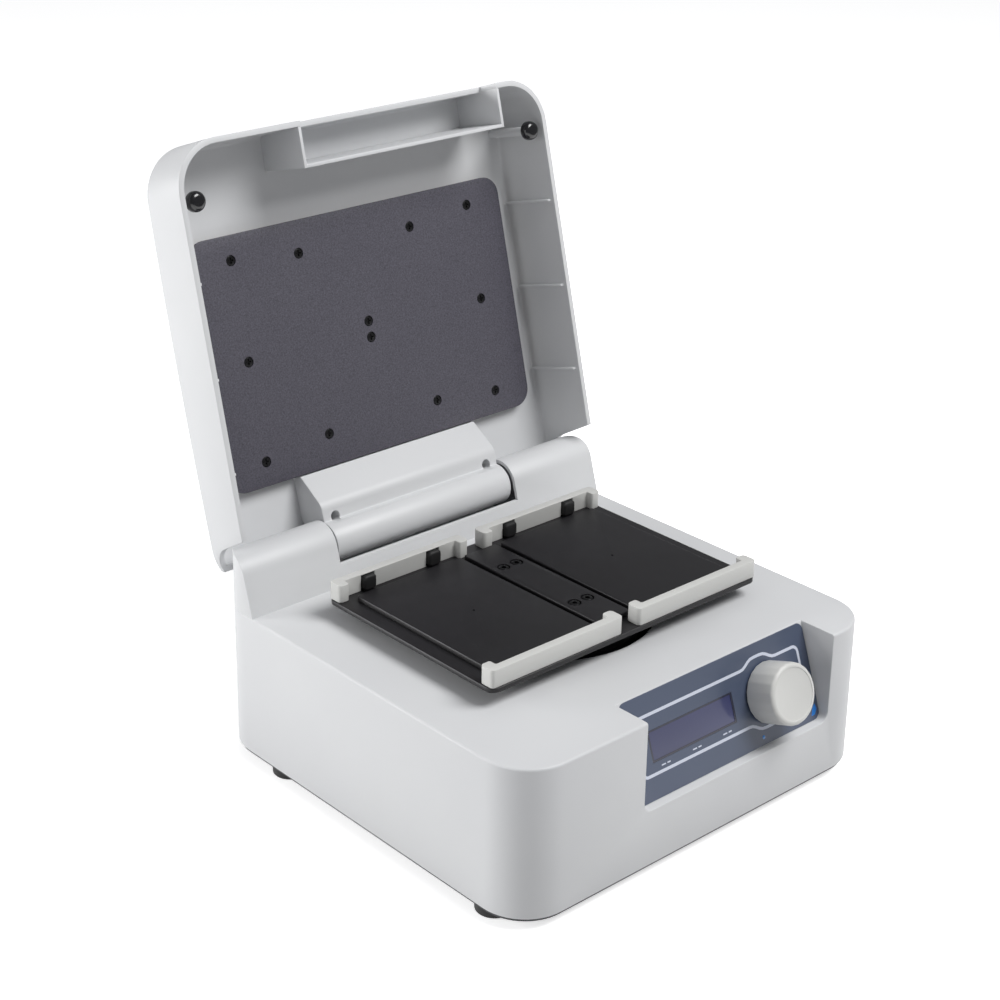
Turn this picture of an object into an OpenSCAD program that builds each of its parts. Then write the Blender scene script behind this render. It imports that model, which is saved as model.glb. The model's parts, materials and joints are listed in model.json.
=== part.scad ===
// Microplate incubator with an orbital tray for two plates and a heated lid, standing open
// Millimetres, +X to the right of the control panel, +Y to the back, +Z up

/* [Body] */
// Width of the instrument
body_w = 288; // [284:1:300]
// Depth of the body from its front to its back
body_d = 276; // [273:1:290]
// Height of the side walls from their lower edge to the deck
wall_h = 93; // [92:1:104]
// Radius of the upright corners seen from above
corner_r = 30; // [26:1:32]
// Thickness of the body's moulded wall
shell_t = 3; // [2.5:0.1:3.4]
// Radius of the round hole in the deck that the drive stands in
deck_hole_r = 68; // [66:0.5:70]
// Radius of the screw posts inside the body
post_r = 6; // [5:0.5:7]
// Thickness of the steel base plate
base_t = 2; // [1.5:0.1:2.5]
// How far the base plate lies inside the walls' outer face
base_inset = 1.5; // [1:0.1:2.4]
// Height of a rubber foot
foot_h = 6; // [5:0.5:8]
// Radius of a rubber foot
foot_r = 11; // [9:0.5:12]
// Distance of a foot's centre from the side of the body
foot_side = 13; // [12.5:0.5:16]
// Distance of a front foot's centre from the front of the body
foot_front = 35; // [32:1:38]
// Distance of a rear foot's centre from the back of the body
foot_back = 56; // [54:1:60]
// Radius of the screws that hold the feet and the base
foot_screw_r = 1.9; // [1.5:0.1:2.2]

/* [Control panel] */
// Width of the recess in the body's front corner
recess_w = 156.5; // [153:0.5:158]
// How far the recess's centre lies to the right of the body's middle
recess_x = 26.75; // [25.5:0.25:27.5]
// Depth of the recess where it cuts the deck
recess_d = 25.5; // [24:0.5:27]
// Depth of the recess's floor ledge in front of the sloped panel
ledge_d = 5.2; // [4.5:0.1:6]
// Height of the recess below the deck
recess_h = 57.5; // [56:0.5:60]
// Radius of the recess's lower corners in the front face
recess_r = 6; // [4:0.5:8]
// Thickness of the printed film on the panel
film_t = 0.5; // [0.3:0.1:0.6]
// How far the film stays inside the recess
film_inset = 0.7; // [0.5:0.1:2]
// Width of the display window
window_w = 70; // [66:1:72]
// Height of the display window up the slope
window_h = 18.5; // [16:0.5:20]
// How far the window's centre lies to the left of the recess's centre
window_x = 25.5; // [24:0.5:27]
// Height of the window's centre up the slope
window_s = 30; // [29:0.5:32]
// How far the knob's axis lies to the right of the recess's centre
knob_x = 38.1; // [37.5:0.1:41]
// Height of the knob's axis up the slope
knob_s = 29.6; // [28:0.2:31]
// Radius of the knob
knob_r = 18.5; // [16:0.5:19]
// Height of the knob
knob_h = 20.2; // [17:0.2:21]
// How far the knob can be pushed in
knob_travel = 0.8; // [0.4:0.1:0.9]
// Radius of the encoder's shaft
stem_r = 3; // [2.5:0.1:3.2]
// Clearance between the knob's bore and the shaft
stem_gap = 0.04; // [0.02:0.01:0.08]
// Radius of the indicator lamp
led_r = 1.3; // [1:0.1:1.6]

/* [Hinge] */
// Distance of the hinge axis from the back of the body
hinge_back = 17.2; // [17:0.1:18]
// Height of the hinge axis above the deck
hinge_h = 20.4; // [20:0.1:22]
// Angle by which the lid stands open
open_a = 104.3; // [102:0.1:104.4]
// Radius of the hood's round top about the hinge axis
hood_r = 15; // [14.6:0.1:15.2]
// Distance of the hood's front foot from the back of the body
hood_front = 39; // [38:0.2:40]
// Distance of the hood's rear foot from the back of the body
hood_back = 4; // [4:0.1:5]
// Thickness of the hood's wall
hood_t = 2.4; // [2:0.1:2.6]
// Clearance between each end of the lid's barrel and the hood
barrel_gap = 2; // [1.5:0.1:3]
// Height of the hood's front wall below that opening
hood_sill_h = 13; // [10:0.5:13.5]
// Radius of the lid's hinge barrel
barrel_r = 13.2; // [12.5:0.1:13.3]
// Length of the barrel and of the block it belongs to
barrel_w = 144; // [140:1:145]
// Radius of the hinge pin
pin_r = 4; // [3:0.1:4.5]
// Clearance between the pin and the barrel's bore
pin_gap = 0.05; // [0.03:0.01:0.09]
// Thickness of a hinge bracket's ear
ear_t = 6; // [5:0.5:7]
// Radius of a hinge bracket's ear
ear_r = 10.5; // [9:0.5:11]
// Radius of the bracket and hood screws
hinge_screw_r = 1.6; // [1.3:0.1:1.8]

/* [Lid] */
// Gap between the closed lid's rim and the deck
lid_gap = 0.6; // [0.5:0.1:0.8]
// Height of the lid over its rim, at its highest
lid_h = 47; // [46:0.5:50]
// How far the lid's sides lean in from the rim to the top
lid_draft = 4; // [3:0.5:5]
// Radius of the lid's upper edges
lid_edge_r = 6; // [4:0.5:7]
// How much lower the lid's top is at its ends than in its middle
lid_crown = 3; // [2:0.5:3.5]
// Thickness of the lid's walls
lid_t = 3.5; // [3:0.1:4]
// Thickness of the lid's top
lid_top_t = 3; // [2.6:0.1:3.4]
// How far the lid reaches behind the hinge axis
lid_overhang = 1.5; // [1:0.1:1.8]
// Clearance between the lid and the hood
hood_clear = 1.2; // [1:0.1:1.4]
// Height of the finger notch in the lid's front wall
notch_h = 16; // [14:0.5:18]
// Thickness of the lid's ribs and of the walls round the notch
rib_t = 2.2; // [1.8:0.1:2.6]
// How far the side ribs stand out from the wall
rib_out = 3; // [2:0.5:3.5]
// Spacing of the side ribs
rib_pitch = 57; // [54:1:58]
// Distance of a bumper post from the lid's side
bumper_side = 12.4; // [11.8:0.1:13.4]
// Distance of a bumper post from the lid's front
bumper_front = 34.8; // [34:0.2:37]
// Radius of a bumper post
bumper_post_r = 3; // [2.6:0.1:3.3]
// Radius of a rubber bumper
bumper_r = 6; // [5:0.5:6.5]
// Height of a rubber bumper
bumper_h = 6; // [5:0.5:7]

/* [Lid heater] */
// Width of the lid's heater plate
hot_w = 246.8; // [243:0.2:248]
// Depth of the lid's heater plate
hot_d = 156; // [152:0.5:156.5]
// Thickness of the lid's heater plate
hot_t = 3; // [2.5:0.1:3.4]
// Height of the heater plate's face over the lid's rim
hot_z = 34.6; // [34.2:0.1:35.2]
// Radius of the heater plate's corners
hot_r = 12; // [8:0.5:13]
// Thickness of the heating mat behind the plate
mat_t = 1; // [0.8:0.1:1.2]
// Thickness of the foam behind the mat
foam_t = 2; // [1.4:0.1:2.2]
// How far the mat and the foam stay inside the plate's edge
mat_inset = 4; // [3:0.5:6]
// Radius of the plate's screws
hot_screw_r = 1.6; // [1.4:0.1:1.8]
// Radius of the plate screws' countersunk heads
hot_head_r = 3.2; // [2.8:0.1:3.4]

/* [Tray] */
// Length of a microplate
plate_l = 127.76; // [127:0.01:128.5]
// Width of a microplate
plate_w = 85.48; // [85:0.01:86]
// Play between a plate's sides and the rails' ends
plate_play = 1.24; // [0.8:0.02:1.6]
// Room along a plate for the rubber tabs that press it forward
tab_room = 6.1; // [5.5:0.1:6.5]
// Thickness of the rails in front of and behind a plate
rail_t = 5.5; // [4.5:0.1:6]
// Thickness of the rails' ends beside a plate
rail_end_t = 7.2; // [6:0.1:7.4]
// Length of the rails' ends beside a plate
rail_end_l = 10.5; // [9:0.5:12]
// Height of the rails over the tray
rail_h = 11.1; // [10.8:0.1:12]
// Distance between the two bays' outer edges
bay_gap = 13.2; // [12.4:0.1:14]
// Height of the tray's underside over the deck
tray_z = 9.3; // [9:0.1:9.8]
// Thickness of the tray
tray_t = 3.2; // [3:0.1:3.6]
// How far the tray reaches past the rails
tray_margin = 0.8; // [0.5:0.1:1.2]
// Radius of the tray's corners
tray_r = 6; // [4:0.5:7]
// Width of a heated pad
pad_w = 81; // [79:0.5:82]
// Length of a heated pad
pad_l = 118; // [112:0.5:120]
// Thickness of the pads and of the centre strip
pad_t = 3.4; // [3:0.1:3.8]
// Width of the centre strip between the pads
strip_w = 26; // [24:0.5:27]
// Distance between the two rubber tabs of a bay
tab_pitch = 51; // [48:1:54]
// Width of a rubber tab
tab_w = 9.8; // [8:0.2:10.6]
// Height of a rubber tab over the tray
tab_h = 10; // [8:0.2:10.4]
// How far a rubber tab stands out from the rail into the bay
tab_out = 3; // [2:0.1:3.4]
// Radius of the tray screws' shanks
tray_screw_r = 2; // [1.6:0.1:2.1]
// Distance between the two tray screws of a pair
tray_screw_x = 10.6; // [10:0.1:11]
// Distance between the front and the rear pair of tray screws
tray_screw_y = 62; // [60:0.5:64]
// Radius of the counterbores that the tray screws' heads lie in
tray_seat_r = 4.2; // [4:0.1:4.6]

/* [Drive] */
// Radius of the tray's circular motion
orbit_r = 1; // [0.8:0.1:1.5]
// Radius of the carrier disc under the tray
carrier_r = 60; // [57:0.5:61]
// Thickness of the carrier disc
carrier_t = 4; // [3.5:0.1:4.5]
// Depth of the carrier disc's top below the deck
carrier_z = 4; // [3.6:0.1:4.6]
// Outer radius of the ball bearings
bearing_r = 11; // [10.5:0.1:11.5]
// Radius of the crank's shaft and pin
shaft_r = 4; // [3.5:0.1:4.2]
// Height of a ball bearing
bearing_h = 7; // [6:0.5:7.5]
// Running clearance on the crank and the idlers
run_gap = 0.04; // [0.02:0.01:0.08]
// Radius of the counterweight
weight_r = 34; // [32:0.5:35]
// Radius of the circle that the idler cranks stand on
idler_pcd_r = 46; // [45:0.5:47]
// Radius of an idler's shaft and pin
idler_r = 2.5; // [2.2:0.1:2.8]
// Play of an idler's pin in the carrier
idler_play = 0.15; // [0.1:0.01:0.2]
// Depth of the drive plate's top below the deck
drive_z = 38; // [37.4:0.1:38.6]
// Thickness of the drive plate
drive_t = 2.5; // [2:0.1:3]
// Width of the drive plate
drive_w = 168; // [162:1:172]
// Depth of the drive plate, front to back
drive_d = 130; // [124:1:134]
// Radius of the motor
motor_r = 32; // [29:0.5:33]
// Height of the motor
motor_h = 36; // [33:0.5:37]

/* [Electronics] */
// Width of the power inlet's socket
socket_w = 24.5; // [24:0.1:25]
// Height of the power inlet's socket
socket_h = 16.5; // [16:0.1:17]
// Depth of the power inlet's socket
socket_d = 18; // [16:0.5:19]
// Distance of the inlet's middle from the body's left side
inlet_side = 52; // [50:0.5:56]
// Depth of the inlet and the switch below the deck
rear_z = 60; // [58:0.5:64]
// Distance of the power switch from the inlet's middle
switch_step = 40; // [38:0.5:42]
// Width of the power switch's opening
switch_w = 19; // [18:0.1:19.5]
// Height of the power switch's opening
switch_h = 13; // [12.5:0.1:13.5]
// Angle that the rocker turns through
rocker_a = 12; // [10:0.5:13]
// Width of the power supply
supply_w = 88; // [84:1:90]
// Depth of the power supply, front to back
supply_d = 62; // [58:1:64]
// Height of the power supply
supply_h = 32; // [30:1:36]
// Width of the main circuit board
board_w = 96; // [92:1:98]
// Depth of the main circuit board, front to back
board_d = 62; // [58:1:64]

/* [Hidden] */

$fn = 64;
// Small overlap that makes a cut run clear through a face
cut = 1;

// Outer places of the body in the deck's frame: front at y = 0, deck at z = 0
mid_y = body_d / 2;
deck_h = wall_h + base_t + foot_h;
foot_xs = [-body_w / 2 + foot_side, body_w / 2 - foot_side];
foot_ys = [foot_front, body_d - foot_back];
inlet_x = body_w / 2 - inlet_side;
switch_x = inlet_x - switch_step;

// Hinge and hood
hinge_y = body_d - hinge_back;
hood_gap_w = barrel_w + 2 * barrel_gap;
hood_y0 = body_d - hood_front;
hood_y1 = body_d - hood_back;
function tangent_a(y, side) =
    let (dy = y - hinge_y, far = sqrt(dy * dy + hinge_h * hinge_h))
    atan2(-hinge_h, dy) + side * acos(hood_r / far);
hood_a0 = tangent_a(hood_y0, -1);
hood_a1 = tangent_a(hood_y1, 1);
function round_point(a, r) = [hinge_y + r * cos(a), hinge_h + r * sin(a)];
function foot_point(a, r, z) =
    let (s = (z - hinge_h - r * sin(a)) / cos(a))
    [hinge_y + r * cos(a) - s * sin(a), z];

// Closed lid
lid_y1 = hinge_y + lid_overhang;
lid_back_t = 2.6;
lid_top_z = lid_gap + lid_h;
crown_mid = lid_y1 / 2;
crown_steps = 20;
function crown(y) = lid_crown * pow((y - crown_mid) / crown_mid, 2);
function ceiling(y) = lid_top_z - lid_top_t - crown(y);
hot_y = mid_y + 1.2;
hot_z0 = lid_gap + hot_z;
boss_r = hot_head_r + 0.6;
hot_screws = [for (s = [-1, 1], t = [-1, 0, 1]) [s * (hot_w / 2 - 28.8), t * (hot_d / 2 - 15.2)],
    for (s = [-1, 1], t = [-1, 1]) [s * (hot_w / 2 - 78.7), t * (hot_d / 2 - 20.4)],
    for (t = [-1, 1]) [0, t * 5.2]];
pocket_x0 = recess_x - recess_w / 2 - 0.25;
pocket_x1 = recess_x + recess_w / 2 + 0.25;
pocket_y = recess_d + 1;
bumper_x = body_w / 2 - bumper_side;
bumper_tip = lid_gap - 0.2;
block_top_y = hot_y + hot_d / 2 + 0.6;
block_face_z = lid_gap + 17.5;
block_bend_y = hinge_y - 23.3;
block_screw_x = barrel_w / 2 - 9.3;
block_screw_y = hinge_y - 15;
block_seat = 32;

// Sloped panel: local x to the right, y up the slope, z out of the panel
panel_tilt = atan2(recess_h, recess_d - ledge_d);
panel_len = sqrt(pow(recess_h, 2) + pow(recess_d - ledge_d, 2));
knob_base = film_t + 1.2;
knob_bevel = 2.3;
film_gap = 0.05;
window_gap = 0.1;
board_back = 13;
board_pcb_t = 1.6;
bush_r = stem_r + 1.2;

// The part's middle lies halfway between the knob's face and the open lid's upper edge
front_y = ledge_d + (knob_s - knob_r + knob_bevel) * cos(panel_tilt) - (knob_base + knob_h) * sin(panel_tilt);
reach_y = hinge_y + (lid_draft - hinge_y) * cos(open_a) + (lid_top_z - lid_crown - hinge_h) * sin(open_a);
centre_y = (front_y + reach_y) / 2;

// Bays and tray
inner_x = plate_w + plate_play;
inner_y = plate_l + tab_room;
bay_w = inner_x + 2 * rail_end_t;
bay_l = inner_y + 2 * rail_t;
bay_x = (bay_w + bay_gap) / 2;
tray_w = 2 * bay_w + bay_gap + 2 * tray_margin;
tray_l = bay_l + 2 * tray_margin;
tray_top = tray_z + tray_t;
bar_w = tray_screw_x + 11;
bar_l = 12;
tab_gap = 0.2;

// Drive heights in the deck's frame
carrier_top = -carrier_z;
hub_h = bearing_h + 3;
weight_t = 6;
weight_top = carrier_top - carrier_t - hub_h;
weight_bottom = weight_top - weight_t;
bearing_seat = -drive_z;
plate_bottom = -drive_z - drive_t;
idler_disc_t = 3;
idler_disc_r = 7;
idler_bush_h = 9;
idler_disc_z = bearing_seat + idler_bush_h + 1;
standoff_r = 4;
standoff_x = drive_w / 2 - 8;
standoff_y = drive_d / 2 - 8;
drive_screw_r = 1.5;
board_post_h = 5;

module round_rect(x0, y0, x1, y1, r) {
    translate([x0 + r, y0]) square([x1 - x0 - 2 * r, y1 - y0]);
    translate([x0, y0 + r]) square([x1 - x0, y1 - y0 - 2 * r]);
    for (x = [x0 + r, x1 - r], y = [y0 + r, y1 - r])
        translate([x, y]) circle(r);
}

module slab(w, d, h, r) {
    linear_extrude(h) round_rect(-w / 2, -d / 2, w / 2, d / 2, r);
}

module bar(x0, x1, y0, y1, z0, z1) {
    translate([x0, y0, z0]) cube([x1 - x0, y1 - y0, z1 - z0]);
}

module rod(x, y, z0, z1, r) {
    translate([x, y, z0]) cylinder(r = r, h = z1 - z0);
}

module along_x(x0, x1) {
    translate([x0, 0, 0]) rotate([90, 0, 90]) linear_extrude(x1 - x0) children();
}

// Body outline seen from above, drawn in by inset
module outline(inset) {
    round_rect(-body_w / 2 + inset, inset, body_w / 2 - inset, body_d - inset, corner_r - inset);
}

module outline_block(inset, z0, z1) {
    translate([0, 0, z0]) linear_extrude(z1 - z0) outline(inset);
}

// From the deck's frame to the part's own, whose origin is under the middle
module placed() {
    translate([0, -centre_y, deck_h]) children();
}

module opened() {
    placed() translate([0, hinge_y, hinge_h]) rotate([-open_a, 0, 0])
        translate([0, -hinge_y, -hinge_h]) children();
}

module on_panel() {
    placed() translate([recess_x, ledge_d, -recess_h]) rotate([panel_tilt, 0, 0]) children();
}

module at_tray() {
    placed() translate([orbit_r, mid_y, 0]) children();
}

module at_drive() {
    placed() translate([0, mid_y, 0]) children();
}

module at_idlers() {
    for (a = [0, 120, 240])
        rotate([0, 0, a]) translate([idler_pcd_r, 0, 0]) rotate([0, 0, -a]) children();
}

// Housing
module recess_profile(grow) {
    polygon([[-cut, cut], [recess_d + grow, cut], [recess_d + grow, 0],
        [ledge_d + grow, -recess_h - grow], [-cut, -recess_h - grow]]);
}

module recess_form(grow) {
    intersection() {
        along_x(recess_x - recess_w / 2 - grow, recess_x + recess_w / 2 + grow) recess_profile(grow);
        translate([0, recess_d + 2 * cut + grow, 0]) rotate([90, 0, 0])
            linear_extrude(recess_d + 4 * cut + grow)
                round_rect(recess_x - recess_w / 2 - grow, -recess_h - grow,
                    recess_x + recess_w / 2 + grow, recess_h, recess_r + grow);
    }
}

module panel_holes() {
    translate([recess_x, ledge_d, -recess_h]) rotate([panel_tilt, 0, 0]) {
        translate([-window_x - window_w / 2, window_s - window_h / 2, -2 * shell_t])
            cube([window_w, window_h, 4 * shell_t]);
        translate([knob_x, knob_s, -2 * shell_t]) cylinder(r = bush_r + 0.2, h = 4 * shell_t);
        translate([led_x(), led_s(), -2 * shell_t]) cylinder(r = led_r + window_gap, h = 4 * shell_t);
    }
}

function led_x() = knob_x - 10;
function led_s() = 5.2;

module rear_cut(x, w, h) {
    bar(-x - w / 2, -x + w / 2, body_d - 2 * shell_t, body_d + cut, -rear_z - h / 2, -rear_z + h / 2);
}

module housing() {
    color("gainsboro") placed() difference() {
        union() {
            difference() {
                outline_block(0, -wall_h, 0);
                outline_block(shell_t, -wall_h - cut, -shell_t);
            }
            intersection() {
                recess_form(shell_t);
                outline_block(0, -wall_h, 0);
            }
            for (x = foot_xs, y = foot_ys)
                rod(x, y, -wall_h, -shell_t / 2, post_r);
            translate([recess_x, ledge_d, -recess_h]) rotate([panel_tilt, 0, 0]) panel_board_places()
                cylinder(r = 3.4, h = board_back - shell_t / 2);
        }
        recess_form(0);
        translate([recess_x, ledge_d, -recess_h]) rotate([panel_tilt, 0, 0]) panel_board_places()
            translate([0, 0, -cut]) cylinder(r = 1.55, h = cut + 8);
        panel_holes();
        rod(0, mid_y, -shell_t - cut, cut, deck_hole_r);
        for (x = foot_xs, y = foot_ys)
            rod(x, y, -wall_h - cut, -wall_h + 16, foot_screw_r + 0.05);
        for (s = [-1, 1])
            hinge_screw_places(s, -shell_t - cut, cut, hinge_screw_r + 0.05);
        rear_cut(inlet_x, socket_w + 4.2, socket_h + 4.2);
        rear_cut(switch_x, switch_w + 3.2, switch_h + 3.2);
    }
}

module base_plate() {
    color("dimgray") placed() difference() {
        outline_block(base_inset, -wall_h - base_t, -wall_h);
        for (x = foot_xs, y = foot_ys)
            rod(x, y, -wall_h - base_t - cut, -wall_h + cut, foot_screw_r + 0.3);
        for (i = [-4:4])
            translate([i * 9, mid_y, -wall_h - base_t - cut]) slab(3, 50, base_t + 2 * cut, 1.4);
    }
}

// Feet
foot_sink = foot_h / 2;

module foot(i, j) {
    color("black") placed() translate([foot_xs[i], foot_ys[j], -wall_h - base_t - foot_h])
        difference() {
            cylinder(r1 = foot_r - 1, r2 = foot_r, h = foot_h);
            translate([0, 0, -cut]) cylinder(r = foot_screw_r + 0.3, h = foot_h + 2 * cut);
            translate([0, 0, -cut]) cylinder(r = 2 * foot_screw_r + 0.4, h = foot_sink + cut);
        }
}

module foot_front_left() foot(0, 0);
module foot_front_right() foot(1, 0);
module foot_rear_left() foot(0, 1);
module foot_rear_right() foot(1, 1);

module foot_screws() {
    color("silver") placed() for (x = foot_xs, y = foot_ys)
        translate([x, y, -wall_h - base_t - foot_h + foot_sink]) {
            translate([0, 0, -2]) cylinder(r = 2 * foot_screw_r, h = 2);
            cylinder(r = foot_screw_r, h = foot_h - foot_sink + base_t + 12);
        }
}

// Control panel
module panel_film() {
    color("slategray") on_panel() difference() {
        translate([0, 0, film_gap]) linear_extrude(film_t)
            round_rect(-recess_w / 2 + film_inset, film_inset, recess_w / 2 - film_inset,
                panel_len - film_inset, recess_r - 1);
        translate([-window_x - window_w / 2, window_s - window_h / 2, -cut])
            cube([window_w, window_h, film_t + 3 * cut]);
        translate([knob_x, knob_s, -cut]) cylinder(r = bush_r + 0.2, h = film_t + 3 * cut);
        translate([led_x(), led_s(), -cut]) cylinder(r = led_r + window_gap, h = film_t + 3 * cut);
    }
}

module display_window() {
    color("midnightblue") on_panel() translate([-window_x, window_s, film_t + film_gap - 2])
        slab(window_w - 2 * window_gap, window_h - 2 * window_gap, 2, 0.6);
}

module display_module() {
    color("darkgreen") on_panel() translate([-window_x, window_s, -board_back]) {
        translate([0, 0, 0]) slab(window_w + 8, window_h + 12, board_back - shell_t - 3.4, 1);
        translate([0, 0, 0]) slab(window_w - 1, window_h - 1, board_back + film_gap + film_t - 2, 0.8);
    }
}

module panel_board_places() {
    for (x = [-1, 1], y = [-1, 1])
        translate([-2 + x * (recess_w / 2 - 16), panel_len / 2 + y * (panel_len / 2 - 12), -board_back])
            children();
}

module control_board() {
    color("green") on_panel() difference() {
        translate([-2, panel_len / 2, -board_back - board_pcb_t])
            slab(recess_w - 22, panel_len - 14, board_pcb_t, 2);
        panel_board_places() translate([0, 0, -3]) cylinder(r = 1.6, h = 5);
    }
}

plunger_h = 2;

module encoder() {
    color("silver") on_panel() translate([knob_x, knob_s, 0]) difference() {
        union() {
            translate([0, 0, -board_back]) slab(13, 13, board_back - shell_t - 0.4, 0.8);
            translate([0, 0, -shell_t - 1]) cylinder(r = bush_r, h = shell_t + 1 + film_t + 0.3);
        }
        translate([0, 0, -board_back + 1]) cylinder(r = stem_r + stem_gap, h = board_back + 5);
    }
}

// The plunger slides only, and the shaft that stands on it turns as well
module encoder_plunger() {
    color("gold") on_panel() translate([knob_x, knob_s, -board_back + 1 + knob_travel + 0.3])
        cylinder(r = stem_r, h = plunger_h);
}

module encoder_shaft() {
    z0 = -board_back + 1 + knob_travel + 0.3 + plunger_h;
    color("lightgray") on_panel() translate([knob_x, knob_s, z0])
        cylinder(r = stem_r, h = knob_base + knob_h - 3 - z0);
}

module knob() {
    color("lightgray") on_panel() translate([knob_x, knob_s, knob_base]) difference() {
        union() {
            cylinder(r1 = knob_r - 0.6, r2 = knob_r, h = 0.6);
            translate([0, 0, 0.6]) cylinder(r = knob_r, h = knob_h - 0.6 - knob_bevel);
            translate([0, 0, knob_h - knob_bevel])
                cylinder(r1 = knob_r, r2 = knob_r - knob_bevel, h = knob_bevel);
        }
        translate([0, 0, -cut]) cylinder(r = stem_r + stem_gap, h = knob_h - 3 + cut + 0.1);
        difference() {
            translate([0, 0, -cut]) cylinder(r = knob_r - 2.2, h = knob_h - 4 + cut);
            translate([0, 0, -2 * cut]) cylinder(r = bush_r + 1.6, h = knob_h);
        }
        translate([0, 0, -cut]) cylinder(r = bush_r + 0.3, h = cut + knob_travel + 0.6);
        translate([0, 0, knob_h - 0.4]) cylinder(r = knob_r - knob_bevel - 0.7, h = cut);
    }
}

module indicator_lamp() {
    color("dodgerblue") on_panel() translate([led_x(), led_s(), -shell_t - 1.5])
        cylinder(r = led_r, h = shell_t + 1.5 + film_t + film_gap);
}

// Hinge
module hood_profile(shift, z0) {
    a0 = hood_a0;
    a1 = hood_a1;
    translate([hinge_y, hinge_h]) circle(hood_r + shift);
    polygon([foot_point(a0, hood_r + shift, z0), round_point(a0, hood_r + shift), [hinge_y, hinge_h],
        round_point(a1, hood_r + shift), foot_point(a1, hood_r + shift, z0)]);
}

module hinge_hood() {
    color("gainsboro") placed() difference() {
        intersection() {
            along_x(-body_w / 2, body_w / 2) hood_profile(0, 0);
            outline_block(0, 0, 2 * hinge_h + hood_r);
        }
        intersection() {
            along_x(-body_w / 2, body_w / 2) hood_profile(-hood_t, -cut);
            outline_block(hood_t, -cut, 2 * hinge_h + hood_r);
        }
        bar(-hood_gap_w / 2, hood_gap_w / 2, 0, 2 * body_d, hood_sill_h, 3 * hinge_h);
    }
}

ear_x = hood_gap_w / 2 + 1.5;
ear_foot_w = 20;
ear_foot_t = 3;

module hinge_screw_places(s, z0, z1, r) {
    for (y = [-6.5, 6.5])
        rod(s * (ear_x + ear_t + (ear_foot_w - ear_t) / 2), hinge_y + y - 2, z0, z1, r);
}

module hinge_bracket(s) {
    x0 = s > 0 ? ear_x : -ear_x - ear_t;
    f0 = s > 0 ? ear_x : -ear_x - ear_foot_w;
    color("silver") placed() difference() {
        union() {
            along_x(x0, x0 + ear_t) {
                translate([hinge_y, hinge_h]) circle(ear_r);
                translate([hinge_y - ear_r - 2, 0]) square([2 * ear_r, hinge_h]);
            }
            bar(f0, f0 + ear_foot_w, hinge_y - ear_r - 2, hinge_y + ear_r - 2, 0, ear_foot_t);
        }
        hinge_screw_places(s, -cut, ear_foot_t + cut, hinge_screw_r + 0.1);
        translate([x0 - cut, hinge_y, hinge_h]) rotate([0, 90, 0]) cylinder(r = pin_r, h = ear_t + 2 * cut);
    }
}

module hinge_bracket_left() hinge_bracket(-1);
module hinge_bracket_right() hinge_bracket(1);

module hinge_screws() {
    color("silver") placed() for (s = [-1, 1]) {
        hinge_screw_places(s, -shell_t - 4, ear_foot_t, hinge_screw_r);
        hinge_screw_places(s, ear_foot_t, ear_foot_t + 1.6, hinge_screw_r + 1.2);
    }
}

module hinge_pin() {
    color("silver") placed() translate([-ear_x - ear_t - 1, hinge_y, hinge_h]) rotate([0, 90, 0])
        cylinder(r = pin_r, h = 2 * (ear_x + ear_t + 1));
}

// Power inlet and switch in the rear wall
flange_t = 2;

module power_inlet() {
    color("black") placed() translate([-inlet_x, body_d, -rear_z]) difference() {
        union() {
            bar(-socket_w / 2 - 2, socket_w / 2 + 2, -socket_d - 4, flange_t / 2,
                -socket_h / 2 - 2, socket_h / 2 + 2);
            rotate([-90, 0, 0]) slab(socket_w + 12, socket_h + 10, flange_t, 3);
        }
        bar(-socket_w / 2, socket_w / 2, -socket_d, flange_t + cut, -socket_h / 2, socket_h / 2);
    }
    color("silver") placed() translate([-inlet_x, body_d, -rear_z]) for (x = [-7, 0, 7])
        bar(x - 1, x + 1, -socket_d, -6, -2, 2);
}

module switch_frame() {
    color("black") placed() translate([-switch_x, body_d, -rear_z]) difference() {
        union() {
            bar(-switch_w / 2 - 1.5, switch_w / 2 + 1.5, -16, flange_t / 2,
                -switch_h / 2 - 1.5, switch_h / 2 + 1.5);
            rotate([-90, 0, 0]) slab(switch_w + 7, switch_h + 7, flange_t, 1.5);
        }
        bar(-switch_w / 2, switch_w / 2, -12, flange_t + cut, -switch_h / 2, switch_h / 2);
    }
}

rocker_y = -4;

module power_rocker() {
    color("firebrick") placed() translate([-switch_x, body_d + rocker_y, -rear_z])
        rotate([0, 0, rocker_a / 2]) difference() {
            intersection() {
                bar(-switch_w / 2 + 0.7, switch_w / 2 - 0.7, -3, 7, -switch_h / 2 + 0.4, switch_h / 2 - 0.4);
                translate([0, 0, -switch_h]) cylinder(r = switch_w / 2 - 0.5, h = 2 * switch_h);
            }
            translate([0, 27, -switch_h]) cylinder(r = 22, h = 2 * switch_h);
        }
}

// Electronics on the base
module power_supply() {
    color("silver") placed() translate([0, 0, -wall_h]) difference() {
        bar(supply_x(), supply_x() + supply_w, supply_y(), supply_y() + supply_d, 0, supply_h);
        for (i = [0:8])
            bar(supply_x() + 12 + 7 * i, supply_x() + 15 + 7 * i, supply_y() + 10, supply_y() + supply_d - 10,
                supply_h - 1, supply_h + cut);
    }
}

function supply_x() = 22;
function supply_y() = body_d - shell_t - 12 - supply_d;
function board_x() = -body_w / 2 + shell_t + 12 + 2 * post_r;
function board_y() = body_d - shell_t - 30 - board_d;

module board_places() {
    for (x = [5, board_w - 5], y = [5, board_d - 5])
        translate([board_x() + x, board_y() + y, -wall_h]) children();
}

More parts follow.
